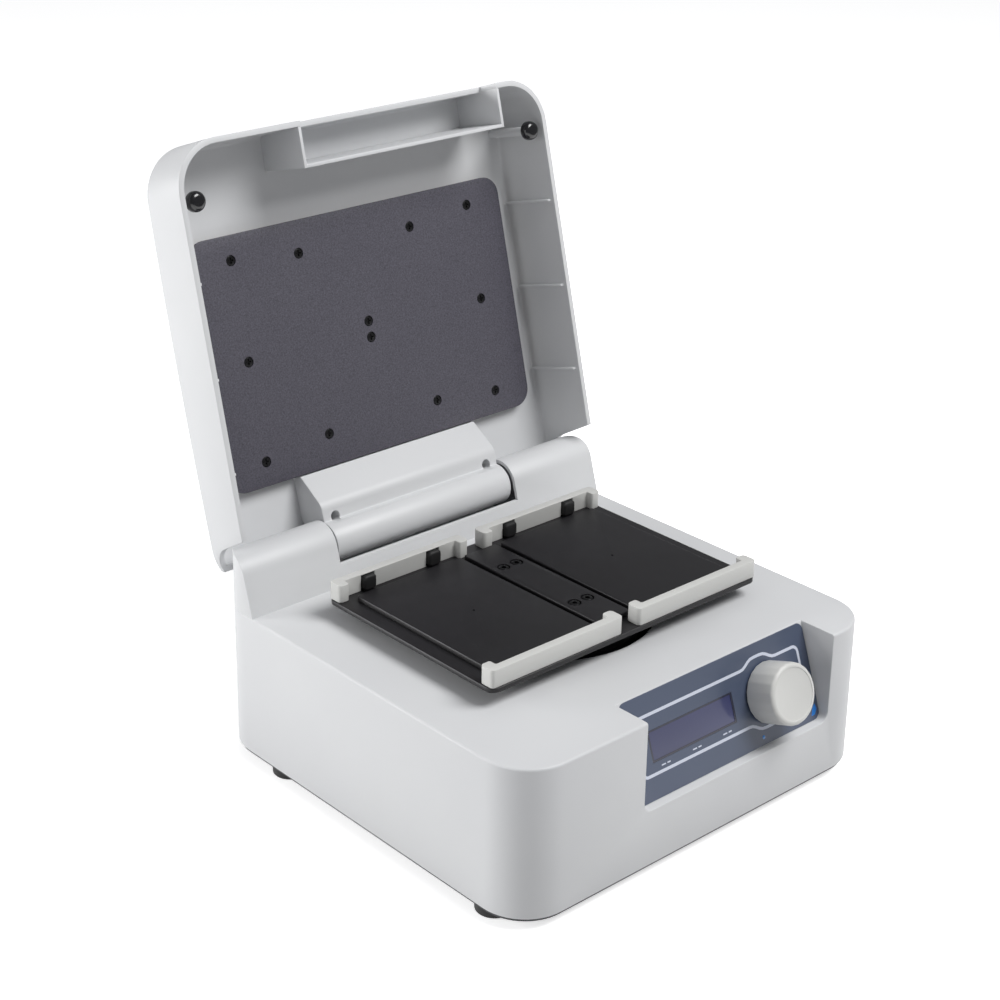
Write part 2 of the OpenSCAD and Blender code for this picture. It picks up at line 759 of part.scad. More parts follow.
module main_board() {
    color("green") placed() difference() {
        union() {
            bar(board_x(), board_x() + board_w, board_y(), board_y() + board_d,
                -wall_h + board_post_h, -wall_h + board_post_h + board_pcb_t);
            bar(board_x() + board_w * 0.15, board_x() + board_w * 0.46,
                board_y() + board_d * 0.2, board_y() + board_d * 0.61,
                -wall_h + board_post_h + board_pcb_t / 2, -wall_h + 3.8 * board_post_h);
            bar(board_x() + board_w * 0.58, board_x() + board_w * 0.85,
                board_y() + board_d * 0.26, board_y() + board_d * 0.68,
                -wall_h + board_post_h + board_pcb_t / 2, -wall_h + 2.4 * board_post_h);
        }
        board_places() translate([0, 0, -cut]) cylinder(r = 1.6, h = 3 * board_post_h);
    }
}

module board_fixings() {
    color("white") placed() board_places() {
        cylinder(r = 3.5, h = board_post_h);
        cylinder(r = 1.5, h = board_post_h + board_pcb_t + 2);
    }
    color("silver") on_panel() panel_board_places() {
        translate([0, 0, -board_pcb_t - 1.6]) cylinder(r = 3, h = 1.6);
        translate([0, 0, -board_pcb_t]) cylinder(r = 1.5, h = board_pcb_t + 7);
    }
}

// Drive
module standoff_places() {
    for (x = [-standoff_x, standoff_x], y = [-standoff_y, standoff_y])
        translate([x, y, 0]) children();
}

module drive_plate() {
    color("silver") at_drive() difference() {
        translate([0, 0, plate_bottom]) slab(drive_w, drive_d, drive_t, 4);
        translate([0, 0, plate_bottom - cut]) cylinder(r = shaft_r + 2, h = drive_t + 2 * cut);
        standoff_places() translate([0, 0, plate_bottom - cut])
            cylinder(r = drive_screw_r + 0.1, h = drive_t + 2 * cut);
        at_idlers() translate([0, 0, plate_bottom - cut]) cylinder(r = idler_r + 1.5, h = drive_t + 2 * cut);
    }
}

module drive_standoffs() {
    color("silver") at_drive() standoff_places() translate([0, 0, -drive_z]) difference() {
        cylinder(r = standoff_r, h = drive_z - shell_t);
        translate([0, 0, -cut]) cylinder(r = drive_screw_r + 0.05, h = 12);
    }
}

module drive_screws() {
    color("silver") at_drive() standoff_places() translate([0, 0, plate_bottom]) {
        translate([0, 0, -1.8]) cylinder(r = 2 * drive_screw_r, h = 1.8);
        cylinder(r = drive_screw_r, h = drive_t + 6 * drive_screw_r);
    }
}

module drive_motor() {
    color("dimgray") at_drive() translate([0, 0, plate_bottom - motor_h]) difference() {
        union() {
            cylinder(r = motor_r, h = motor_h - 4);
            cylinder(r = motor_r - 4, h = motor_h);
        }
        translate([0, 0, motor_h - 14]) cylinder(r = shaft_r + 1.5, h = 14 + cut);
    }
}

module bearing_housing() {
    color("gray") at_drive() translate([0, 0, bearing_seat]) difference() {
        cylinder(r = bearing_r + 4, h = bearing_h);
        translate([0, 0, -cut]) cylinder(r = bearing_r, h = bearing_h + 2 * cut);
    }
}

module bearing_ring(z) {
    translate([0, 0, z]) difference() {
        cylinder(r = bearing_r, h = bearing_h);
        translate([0, 0, -cut]) cylinder(r = shaft_r + run_gap, h = bearing_h + 2 * cut);
        for (side = [-cut, bearing_h - 0.6])
            translate([0, 0, side]) difference() {
                cylinder(r = bearing_r - 2, h = cut + 0.6);
                translate([0, 0, -cut]) cylinder(r = shaft_r + 2, h = 4 * cut);
            }
    }
}

module shaft_bearing() {
    color("silver") at_drive() bearing_ring(bearing_seat);
}

module idler_bushes() {
    color("goldenrod") at_drive() at_idlers() translate([0, 0, bearing_seat]) difference() {
        cylinder(r = idler_r + 3.5, h = idler_bush_h);
        translate([0, 0, -cut]) cylinder(r = idler_r + run_gap, h = idler_bush_h + 2 * cut);
    }
}

module crank() {
    color("silver") at_drive() {
        translate([0, 0, plate_bottom - 8]) cylinder(r = shaft_r, h = 8 - plate_bottom + weight_bottom + cut);
        translate([0, 0, weight_bottom]) cylinder(r = 3 * shaft_r, h = weight_t);
        translate([orbit_r, 0, weight_top - cut]) cylinder(r = shaft_r, h = hub_h + carrier_t + cut - 1);
    }
}

module counterweight() {
    color("dimgray") at_drive() translate([0, 0, weight_bottom]) difference() {
        cylinder(r = weight_r, h = weight_t);
        translate([0, 0, -cut]) cylinder(r = 3 * shaft_r, h = weight_t + 2 * cut);
        translate([-shaft_r, -weight_r - cut, -cut])
            cube([2 * weight_r, 2 * weight_r + 2 * cut, weight_t + 2 * cut]);
    }
}

module idler(a) {
    color("silver") at_drive() rotate([0, 0, a]) translate([idler_pcd_r, 0, 0]) rotate([0, 0, -a]) {
        translate([0, 0, plate_bottom]) cylinder(r = idler_r, h = idler_disc_z - plate_bottom + cut);
        translate([0, 0, idler_disc_z]) cylinder(r = idler_disc_r, h = idler_disc_t);
        translate([orbit_r, 0, idler_disc_z + idler_disc_t - cut])
            cylinder(r = idler_r, h = carrier_top - 1.2 - idler_disc_z - idler_disc_t + cut);
    }
}

module idler_crank_right() idler(0);
module idler_crank_rear() idler(120);
module idler_crank_front() idler(240);

module carrier() {
    color("dimgray") at_tray() difference() {
        union() {
            translate([0, 0, carrier_top - carrier_t]) cylinder(r = carrier_r, h = carrier_t);
            translate([0, 0, carrier_top - carrier_t - bearing_h])
                cylinder(r = bearing_r + 4, h = bearing_h + cut);
            at_idlers() translate([0, 0, carrier_top - carrier_t - bearing_h])
                cylinder(r = idler_r + 3, h = bearing_h + cut);
            for (y = [-tray_screw_y / 2, tray_screw_y / 2])
                translate([0, y, carrier_top - cut]) slab(bar_w, bar_l, tray_z - carrier_top + cut, 3);
        }
        translate([0, 0, carrier_top - carrier_t - bearing_h - cut])
            cylinder(r = bearing_r, h = bearing_h + cut);
        translate([0, 0, carrier_top - carrier_t - cut]) cylinder(r = shaft_r + 2, h = carrier_t + 2 * cut);
        at_idlers() translate([0, 0, carrier_top - carrier_t - bearing_h - cut])
            cylinder(r = idler_r + idler_play, h = bearing_h + carrier_t + 2 * cut);
        tray_screw_places() translate([0, 0, carrier_top - carrier_t - cut])
            cylinder(r = tray_screw_r + 0.05, h = tray_top + 4 * carrier_t);
    }
}

module carrier_bearing() {
    color("silver") at_tray() bearing_ring(carrier_top - carrier_t - bearing_h);
}

// Tray
module tray_screw_places() {
    for (x = [-tray_screw_x / 2, tray_screw_x / 2], y = [-tray_screw_y / 2, tray_screw_y / 2])
        translate([x, y, 0]) children();
}

module tray() {
    color("black") at_tray() difference() {
        translate([0, 0, tray_z]) slab(tray_w, tray_l, tray_t, tray_r);
        tray_screw_places() translate([0, 0, tray_z - cut])
            cylinder(r = tray_screw_r + 0.1, h = tray_t + 2 * cut);
    }
}

module heated_pad(s) {
    color("black") at_tray() translate([s * bay_x, 0, tray_top]) difference() {
        slab(pad_w, pad_l, pad_t, 2);
        translate([0, 0, pad_t / 2]) cylinder(r = 0.8, h = pad_t);
    }
}

module heated_pad_left() heated_pad(-1);
module heated_pad_right() heated_pad(1);

module centre_strip() {
    color("black") at_tray() translate([0, 0, tray_top]) difference() {
        slab(strip_w, pad_l, pad_t, 1);
        tray_screw_places() {
            translate([0, 0, -cut]) cylinder(r = tray_screw_r + 0.1, h = pad_t + 2 * cut);
            translate([0, 0, pad_t / 2]) cylinder(r = tray_seat_r, h = pad_t);
        }
    }
}

module tray_screws() {
    color("dimgray") at_tray() tray_screw_places() {
        translate([0, 0, carrier_top]) cylinder(r = tray_screw_r, h = tray_top + pad_t / 2 - carrier_top);
        translate([0, 0, tray_top + pad_t / 2]) difference() {
            cylinder(r = 1.6 * tray_screw_r, h = pad_t / 2);
            translate([0, 0, 0.3]) cylinder(r = 1.3, h = pad_t, $fn = 6);
        }
    }
}

// A rail wraps one end of a bay: front rails have t = -1 and rear rails t = 1
module rail_plan(t) {
    y1 = bay_l / 2;
    mirror([0, t > 0 ? 0 : 1]) difference() {
        round_rect(-bay_w / 2, y1 - rail_end_l, bay_w / 2, y1, 2.5);
        translate([-inner_x / 2, y1 - rail_end_l - cut]) square([inner_x, rail_end_l + cut - rail_t]);
    }
}

module tab_places() {
    for (u = [-tab_pitch / 2, tab_pitch / 2])
        translate([u, bay_l / 2, tray_top]) children();
}

module rail(s, t) {
    color("whitesmoke") at_tray() translate([s * bay_x, 0, 0]) difference() {
        translate([0, 0, tray_top]) linear_extrude(rail_h) rail_plan(t);
        if (t > 0)
            tab_places() bar(-tab_w / 2 - tab_gap, tab_w / 2 + tab_gap, -2 * rail_t, -1.6,
                -cut, tab_h + tab_gap);
    }
}

module rail_front_left() rail(-1, -1);
module rail_front_right() rail(1, -1);
module rail_rear_left() rail(-1, 1);
module rail_rear_right() rail(1, 1);

module plate_tabs() {
    color("black") at_tray() for (s = [-1, 1])
        translate([s * bay_x, 0, 0]) tab_places() translate([0, -1.8, 0]) rotate([90, 0, 0])
            linear_extrude(rail_t - 1.8 + tab_out) {
                translate([-tab_w / 2, 0]) square([tab_w, tab_h - 3]);
                round_rect(-tab_w / 2, 1, tab_w / 2, tab_h, 2.8);
            }
}

// Lid, drawn closed and then turned open
module lid_plan(inset, back) {
    intersection() {
        outline(inset);
        translate([-body_w / 2, 0]) square([body_w, lid_y1 - back]);
    }
}

module lid_form(inset, back, drop) {
    intersection() {
        hull() {
            translate([0, 0, lid_gap - (inset > 0 ? cut : 0)]) linear_extrude(0.1) lid_plan(inset, back);
            for (a = [0:30:90])
                translate([0, 0, lid_top_z - drop - lid_edge_r + lid_edge_r * sin(a) - 0.1])
                    linear_extrude(0.1)
                    lid_plan(inset + lid_draft + lid_edge_r * (1 - cos(a)) * (inset > 0 ? 0.5 : 1), back);
        }
        along_x(-body_w, body_w) polygon(concat([[-cut, -cut]],
            [for (i = [0:crown_steps]) let (y = -cut + (lid_y1 - 7 + cut) * i / crown_steps)
                [y, lid_top_z - drop - crown(y)]],
            [for (a = [75:-15:0]) let (y = lid_y1 - back - 7)
                [y + 7 * cos(a), lid_top_z - drop - crown(y) - 7 + 7 * sin(a)]],
            [[lid_y1 - back, -cut]]));
    }
}

module side_ribs() {
    for (s = [-1, 1], t = [-1, 0, 1]) {
        x0 = body_w / 2 - lid_t;
        translate([0, hot_y + t * rib_pitch + rib_t / 2, 0]) rotate([90, 0, 0]) linear_extrude(rib_t)
            polygon([[s * (x0 - rib_out), lid_gap + 2.5], [s * (x0 + 1), lid_gap + 2.5],
                [s * (x0 - lid_draft + 1), ceiling(0)], [s * (x0 - lid_draft - rib_out), ceiling(0)]]);
    }
}

module notch_walls() {
    intersection() {
        difference() {
            bar(pocket_x0 - rib_t, pocket_x1 + rib_t, 0, pocket_y + rib_t, lid_gap, lid_top_z);
            bar(pocket_x0, pocket_x1, -cut, pocket_y, lid_gap - cut, lid_top_z);
        }
        lid_form(0.2, 0.2, 0.2);
    }
}

module lid_shell() {
    color("gainsboro") opened() difference() {
        union() {
            difference() {
                lid_form(0, 0, 0);
                lid_form(lid_t, lid_back_t, lid_top_t);
            }
            side_ribs();
            notch_walls();
            for (s = [-1, 1])
                rod(s * bumper_x, bumper_front, bumper_tip + bumper_h, ceiling(bumper_front) + 1,
                    bumper_post_r);
            for (p = hot_screws)
                rod(p[0], hot_y + p[1], hot_z0 + hot_t, ceiling(hot_y + p[1]) + 1, boss_r);
        }
        bar(pocket_x0, pocket_x1, -cut, lid_t + 2 * lid_draft, -cut, lid_gap + notch_h);
        along_x(-body_w, body_w) {
            hood_profile(hood_clear, -cut);
            polygon([foot_point(hood_a0, hood_r + hood_clear, -cut),
                     [2 * body_d, -cut], [2 * body_d, hinge_h],
                [hinge_y, hinge_h]]);
        }
        for (p = hot_screws)
            rod(p[0], hot_y + p[1], hot_z0, hot_z0 + hot_t + 5, hot_screw_r + 0.05);
        for (s = [-1, 1]) {
            rod(s * bumper_x, bumper_front, bumper_tip, bumper_tip + bumper_h + 6, 1.55);
            rod(s * block_screw_x, block_screw_y, block_seat, ceiling(block_screw_y) + 2,
                hinge_screw_r + 0.05);
        }
    }
}

module hot_slab(inset, z0, z1) {
    translate([0, hot_y, z0]) slab(hot_w - 2 * inset, hot_d - 2 * inset, z1 - z0, hot_r - inset / 2);
}

module lid_heater_plate() {
    color("dimgray") opened() difference() {
        hot_slab(0, hot_z0, hot_z0 + hot_t);
        for (p = hot_screws) {
            rod(p[0], hot_y + p[1], hot_z0 - cut, hot_z0 + hot_t + cut, hot_screw_r + 0.1);
            translate([p[0], hot_y + p[1], hot_z0 - 0.1])
                cylinder(r1 = hot_head_r + 0.2, r2 = hot_screw_r + 0.1, h = hot_head_r - hot_screw_r + 0.2);
        }
    }
}

module lid_layer(z0, z1) {
    opened() difference() {
        hot_slab(mat_inset, z0, z1);
        for (p = hot_screws)
            rod(p[0], hot_y + p[1], z0 - cut, z1 + cut, boss_r + 0.3);
    }
}

module lid_heater_mat() color("orangered") lid_layer(hot_z0 + hot_t, hot_z0 + hot_t + mat_t);
module lid_foam() color("khaki") lid_layer(hot_z0 + hot_t + mat_t, hot_z0 + hot_t + mat_t + foam_t);

module lid_plate_screws() {
    color("black") opened() for (p = hot_screws)
        translate([p[0], hot_y + p[1], hot_z0]) {
            cylinder(r1 = hot_head_r, r2 = hot_screw_r, h = hot_head_r - hot_screw_r);
            translate([0, 0, 0.5]) cylinder(r = hot_screw_r, h = hot_t + 4);
        }
}

module lid_bumper(s) {
    color("black") opened() translate([s * bumper_x, bumper_front, bumper_tip]) {
        intersection() {
            translate([0, 0, bumper_r + 0.5]) sphere(bumper_r + 0.5);
            cylinder(r = bumper_r, h = bumper_h);
        }
        translate([0, 0, 2]) cylinder(r = 1.5, h = bumper_h + 3);
    }
}

module lid_bumper_left() lid_bumper(-1);
module lid_bumper_right() lid_bumper(1);

module block_profile() {
    difference() {
        union() {
            translate([hinge_y, hinge_h]) circle(barrel_r, $fn = 96);
            polygon(concat([[block_top_y, ceiling(block_top_y)], [block_top_y, hot_z0],
                [block_bend_y, block_face_z], [hinge_y - barrel_r + 1.5, block_face_z],
                [hinge_y, hinge_h], [hinge_y, hinge_h + barrel_r]],
                [for (y = [lid_y1 - 14: -6: block_top_y]) [y, ceiling(y)]]));
        }
    }
}

module lid_hinge_block() {
    color("gainsboro") opened() difference() {
        along_x(-barrel_w / 2, barrel_w / 2) block_profile();
        translate([-barrel_w, hinge_y, hinge_h]) rotate([0, 90, 0])
            cylinder(r = pin_r + pin_gap, h = 2 * barrel_w);
        for (s = [-1, 1]) {
            rod(s * block_screw_x, block_screw_y, 0, block_seat, 3.3);
            rod(s * block_screw_x, block_screw_y, 0, lid_top_z, hinge_screw_r + 0.1);
        }
        bar(-block_screw_x + 7, block_screw_x - 7, block_top_y + 8, block_screw_y,
            hot_z0 - 4, lid_top_z);
    }
}

module lid_block_screws() {
    color("silver") opened() for (s = [-1, 1]) {
        rod(s * block_screw_x, block_screw_y, block_seat - 2, block_seat, 2.8);
        rod(s * block_screw_x, block_screw_y, block_seat, ceiling(block_screw_y) + 1.8, hinge_screw_r);
    }
}

housing();
base_plate();
foot_front_left();
foot_front_right();
foot_rear_left();
foot_rear_right();
foot_screws();
panel_film();
display_window();
display_module();
control_board();
encoder();
encoder_plunger();
encoder_shaft();
knob();
indicator_lamp();
hinge_hood();
hinge_bracket_left();
hinge_bracket_right();
hinge_screws();
hinge_pin();
power_inlet();
switch_frame();
power_rocker();
power_supply();
main_board();
board_fixings();
drive_plate();
drive_standoffs();
drive_screws();
drive_motor();
bearing_housing();
shaft_bearing();
idler_bushes();
crank();
counterweight();
idler_crank_right();
idler_crank_front();
idler_crank_rear();
carrier();
carrier_bearing();
tray();
heated_pad_left();
heated_pad_right();
centre_strip();
rail_front_left();
rail_front_right();
rail_rear_left();
rail_rear_right();
plate_tabs();
tray_screws();
lid_shell();
lid_heater_plate();
lid_heater_mat();
lid_foam();
lid_plate_screws();
lid_bumper_left();
lid_bumper_right();
lid_hinge_block();
lid_block_screws();
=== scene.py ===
import json
import logging
import math
from dataclasses import dataclass
from enum import Enum
from typing import Callable, Iterable, Sequence

import bpy
from mathutils import Matrix, Vector


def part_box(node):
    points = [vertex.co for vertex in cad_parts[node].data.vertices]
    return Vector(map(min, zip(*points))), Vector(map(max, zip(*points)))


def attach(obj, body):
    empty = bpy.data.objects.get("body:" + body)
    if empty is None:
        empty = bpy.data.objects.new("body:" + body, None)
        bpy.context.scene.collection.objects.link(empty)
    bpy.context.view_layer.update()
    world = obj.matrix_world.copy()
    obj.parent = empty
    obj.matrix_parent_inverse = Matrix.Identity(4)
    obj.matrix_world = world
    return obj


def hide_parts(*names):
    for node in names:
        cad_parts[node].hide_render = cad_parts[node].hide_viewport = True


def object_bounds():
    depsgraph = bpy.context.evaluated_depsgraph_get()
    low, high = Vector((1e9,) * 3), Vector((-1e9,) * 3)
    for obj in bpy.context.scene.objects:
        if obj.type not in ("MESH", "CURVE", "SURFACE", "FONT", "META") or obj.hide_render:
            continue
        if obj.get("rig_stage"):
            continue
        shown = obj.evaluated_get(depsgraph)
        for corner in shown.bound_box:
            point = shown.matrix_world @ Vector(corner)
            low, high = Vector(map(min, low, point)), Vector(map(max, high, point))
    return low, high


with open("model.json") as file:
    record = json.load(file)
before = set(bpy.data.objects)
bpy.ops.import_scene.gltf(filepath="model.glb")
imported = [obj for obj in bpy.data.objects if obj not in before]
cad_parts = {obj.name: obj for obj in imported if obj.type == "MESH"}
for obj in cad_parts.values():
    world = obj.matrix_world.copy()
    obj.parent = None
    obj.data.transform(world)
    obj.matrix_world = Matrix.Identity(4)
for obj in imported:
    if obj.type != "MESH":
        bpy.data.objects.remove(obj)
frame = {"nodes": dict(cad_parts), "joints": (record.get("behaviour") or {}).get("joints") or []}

log = logging.getLogger("microplate_incubator")

MM = 0.001
# Two places count as one within this distance, and loose triangles are merged within the next, in metres
NEAR = 1e-6
WELD = 0.000004
SMOOTH_ANGLE = math.radians(38)
FLAT_ANGLE = math.radians(0.6)
Pick = Callable[[Vector, Vector], bool]


# Small tools for modelling

def mm(x: float, y: float, z: float = 0.0) -> Vector:
    """Turns millimetres into a vector in metres."""
    return Vector((x, y, z)) * MM


def activate(obj: bpy.types.Object) -> None:
    """Makes one object the only selected and the active one."""
    bpy.ops.object.select_all(action="DESELECT")
    obj.select_set(True)
    bpy.context.view_layer.objects.active = obj


def arc(x: float, y: float, radius: float, start: float, end: float, steps: int) -> list[tuple[float, float]]:
    """Gives the points of an arc, its ends included.

    Args:
        x: Centre along the first axis.
        y: Centre along the second axis.
        radius: Radius of the arc.
        start: Angle of the first point, in degrees.
        end: Angle of the last point, in degrees.
        steps: Number of stretches between the points.

    Returns:
        The points in order.
    """
    turns = [math.radians(start + (end - start) * i / steps) for i in range(steps + 1)]
    return [(x + radius * math.cos(t), y + radius * math.sin(t)) for t in turns]


def rounded(x0: float, x1: float, y0: float, y1: float, radius: float,
            steps: int = 8) -> list[tuple[float, float]]:
    """Gives the outline of a rectangle with rounded corners, in millimetres."""
    return (arc(x1 - radius, y0 + radius, radius, -90, 0, steps)
            + arc(x1 - radius, y1 - radius, radius, 0, 90, steps)
            + arc(x0 + radius, y1 - radius, radius, 90, 180, steps)
            + arc(x0 + radius, y0 + radius, radius, 180, 270, steps))


def extruded(name: str, outline: Sequence[Vector], along: Vector) -> bpy.types.Object:
    """Fills an outline and pulls it out to a block.

    Args:
        name: Name of the new piece.
        outline: Corners of the face in order, in metres.
        along: How far and which way the face is pulled, in metres.

    Returns:
        The block, closed and with its faces outwards.
    """
    bpy.ops.object.select_all(action="DESELECT")
    bpy.ops.mesh.primitive_circle_add(vertices=len(outline), fill_type="NGON")
    obj = bpy.context.object
    obj.name = obj.data.name = name
    for vertex, place in zip(obj.data.vertices, outline):
        vertex.co = place
    bpy.ops.object.mode_set(mode="EDIT")
    bpy.ops.mesh.select_all(action="SELECT")
    bpy.ops.mesh.extrude_region_move(TRANSFORM_OT_translate={"value": along})
    bpy.ops.mesh.select_all(action="SELECT")
    bpy.ops.mesh.normals_make_consistent(inside=False)
    bpy.ops.object.mode_set(mode="OBJECT")
    return obj


def plate(name: str, outline: Sequence[tuple[float, float]], z0: float, z1: float) -> bpy.types.Object:
    """Raises a flat outline, seen from above and in millimetres, from z0 to z1."""
    return extruded(name, [mm(x, y, z0) for x, y in outline], mm(0, 0, z1 - z0))


def profile(name: str, outline: Sequence[tuple[float, float]], x0: float, x1: float) -> bpy.types.Object:
    """Pulls an outline of y and z, in millimetres, along X from x0 to x1."""
    return extruded(name, [mm(x0, y, z) for y, z in outline], mm(x1 - x0, 0, 0))


def block(name: str, low: Sequence[float], high: Sequence[float]) -> bpy.types.Object:
    """Makes a block between two corners in millimetres."""
    corners = [(low[0], low[1]), (high[0], low[1]), (high[0], high[1]), (low[0], high[1])]
    return plate(name, corners, low[2], high[2])


def disc(name: str, x: float, y: float, z0: float, z1: float, radius: float,
         steps: int = 48) -> bpy.types.Object:
    """Makes an upright cylinder in millimetres."""
    bpy.ops.object.select_all(action="DESELECT")
    bpy.ops.mesh.primitive_cylinder_add(vertices=steps, radius=radius * MM, depth=(z1 - z0) * MM)
    obj = bpy.context.object
    obj.name = obj.data.name = name
    obj.data.transform(Matrix.Translation(mm(x, y, (z0 + z1) / 2)))
    return obj


def choose_edges(obj: bpy.types.Object, pick: Pick, sharp: bool = False) -> None:
    """Selects edges by the places of their ends and stays in edit mode.

    Args:
        obj: The piece.
        pick: Test on an edge's two ends, in metres.
        sharp: Whether only sharp edges count.
    """
    activate(obj)
    bpy.ops.object.mode_set(mode="EDIT")
    bpy.ops.mesh.select_mode(type="EDGE")
    bpy.ops.mesh.select_all(action="DESELECT")
    if sharp:
        bpy.ops.mesh.edges_select_sharp(sharpness=SMOOTH_ANGLE)
    bpy.ops.object.mode_set(mode="OBJECT")
    mesh = obj.data
    for edge in mesh.edges:
        first, second = (mesh.vertices[i].co for i in edge.vertices)
        edge.select = (edge.select or not sharp) and pick(first, second)
    bpy.ops.object.mode_set(mode="EDIT")


def round_edges(obj: bpy.types.Object, width: float, steps: int, pick: Pick, sharp: bool = False,
                clamp: bool = True) -> None:
    """Rounds the picked edges by a width in millimetres."""
    choose_edges(obj, pick, sharp)
    bpy.ops.mesh.bevel(offset=width * MM, segments=steps, profile=0.5, clamp_overlap=clamp)
    bpy.ops.object.mode_set(mode="OBJECT")


def drop_face(obj: bpy.types.Object, pick: Callable[[Vector, Vector], bool]) -> None:
    """Deletes the faces whose centre and normal pass a test."""
    activate(obj)
    bpy.ops.object.mode_set(mode="EDIT")
    bpy.ops.mesh.select_mode(type="FACE")
    bpy.ops.mesh.select_all(action="DESELECT")
    bpy.ops.object.mode_set(mode="OBJECT")
    for face in obj.data.polygons:
        face.select = pick(face.center, face.normal)
    bpy.ops.object.mode_set(mode="EDIT")
    bpy.ops.mesh.delete(type="ONLY_FACE")
    bpy.ops.object.mode_set(mode="OBJECT")


def apply_all(obj: bpy.types.Object) -> None:
    """Applies every modifier of a piece in order."""
    activate(obj)
    for modifier in list(obj.modifiers):
        bpy.ops.object.modifier_apply(modifier=modifier.name)


def soften(obj: bpy.types.Object, width: float, steps: int = 2, angle: float = 40.0) -> None:
    """Rounds all sharp edges by a width in millimetres, as a mould or a deburring tool does."""
    modifier = obj.modifiers.new("soft_edges", "BEVEL")
    modifier.width = width * MM
    modifier.segments = steps
    modifier.limit_method = "ANGLE"
    modifier.angle_limit = math.radians(angle)
    modifier.use_clamp_overlap = True
    apply_all(obj)


def join(pieces: Sequence[bpy.types.Object], name: str) -> bpy.types.Object:
    """Joins pieces into the first one."""
    activate(pieces[0])
    for piece in pieces:
        piece.select_set(True)
    bpy.ops.object.join()
    pieces[0].name = pieces[0].data.name = name
    return pieces[0]


def combine(obj: bpy.types.Object, tools: Sequence[bpy.types.Object], operation: str = "DIFFERENCE") -> None:
    """Cuts away or adds other closed pieces, which are used up.

    Args:
        obj: The piece that is changed.
        tools: The pieces that cut it or are added to it.
        operation: The boolean modifier's operation.
    """
    for tool in tools:
        modifier = obj.modifiers.new("combine", "BOOLEAN")
        modifier.operation = operation
        modifier.solver = "EXACT"
        modifier.object = tool
        apply_all(obj)
        bpy.data.objects.remove(tool)


def copies(obj: bpy.types.Object, places: Iterable[Vector], name: str) -> bpy.types.Object:
    """Copies a piece to several places, each copy with its own mesh, and joins the copies.

    Args:
        obj: The piece, modelled round the origin. It is used up.
        places: Shifts in metres.
        name: Name of the joined piece.

    Returns:
        The joined piece.
    """
    made = []
    for place in places:
        twin = obj.copy()
        twin.data = obj.data.copy()
        twin.data.transform(Matrix.Translation(place))
        bpy.context.scene.collection.objects.link(twin)
        made.append(twin)
    bpy.data.objects.remove(obj)
    return join(made, name)


def refined(node: str, width: float) -> bpy.types.Object:
    """Copies a construction node, merges its loose triangles and softens its edges.

    Args:
        node: Name of the node.
        width: Width of the softened edges in millimetres.

    Returns:
        The new piece in the node's place.
    """
    obj = frame["nodes"][node].copy()
    obj.data = obj.data.copy()
    obj.parent = None
    for key in [key for key in obj.keys() if key.startswith("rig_")]:
        del obj[key]
    obj.name = obj.data.name = node + "_dressed"
    bpy.context.scene.collection.objects.link(obj)
    activate(obj)
    bpy.ops.object.mode_set(mode="EDIT")
    bpy.ops.mesh.select_all(action="SELECT")
    bpy.ops.mesh.remove_doubles(threshold=WELD)
    bpy.ops.mesh.dissolve_limited(angle_limit=FLAT_ANGLE)
    bpy.ops.object.mode_set(mode="OBJECT")
    soften(obj, width)
    return obj


# Finishes

def srgb(code: str) -> tuple[float, float, float, float]:
    """Turns an sRGB hex colour into a linear one."""
    parts = [int(code[i:i + 2], 16) / 255 for i in (1, 3, 5)]
    linear = [p / 12.92 if p <= 0.04045 else ((p + 0.055) / 1.055) ** 2.4 for p in parts]
    return (linear[0], linear[1], linear[2], 1.0)


def add_node(tree: bpy.types.NodeTree, kind: str, inputs: dict[str | int, object] | None = None,
             **settings: object) -> bpy.types.Node:
    """Adds a shader node with its settings and links.

    Args:
        tree: The node tree.
        kind: The node's type.
        inputs: Values or output sockets for the node's inputs.
        settings: The node's own properties.

    Returns:
        The node.
    """
    node = tree.nodes.new(kind)
    for name, value in settings.items():
        setattr(node, name, value)
    for name, value in (inputs or {}).items():
        if isinstance(value, bpy.types.NodeSocket):
            tree.links.new(value, node.inputs[name])
        else:
            node.inputs[name].default_value = value
    return node


class Surface(Enum):
    """How a surface was made, which sets its pattern."""

    MOULDED = "moulded"
    POWDER = "powder coated"
    BRUSHED = "brushed"
    CIRCUIT = "etched board"
    CELLS = "foamed"


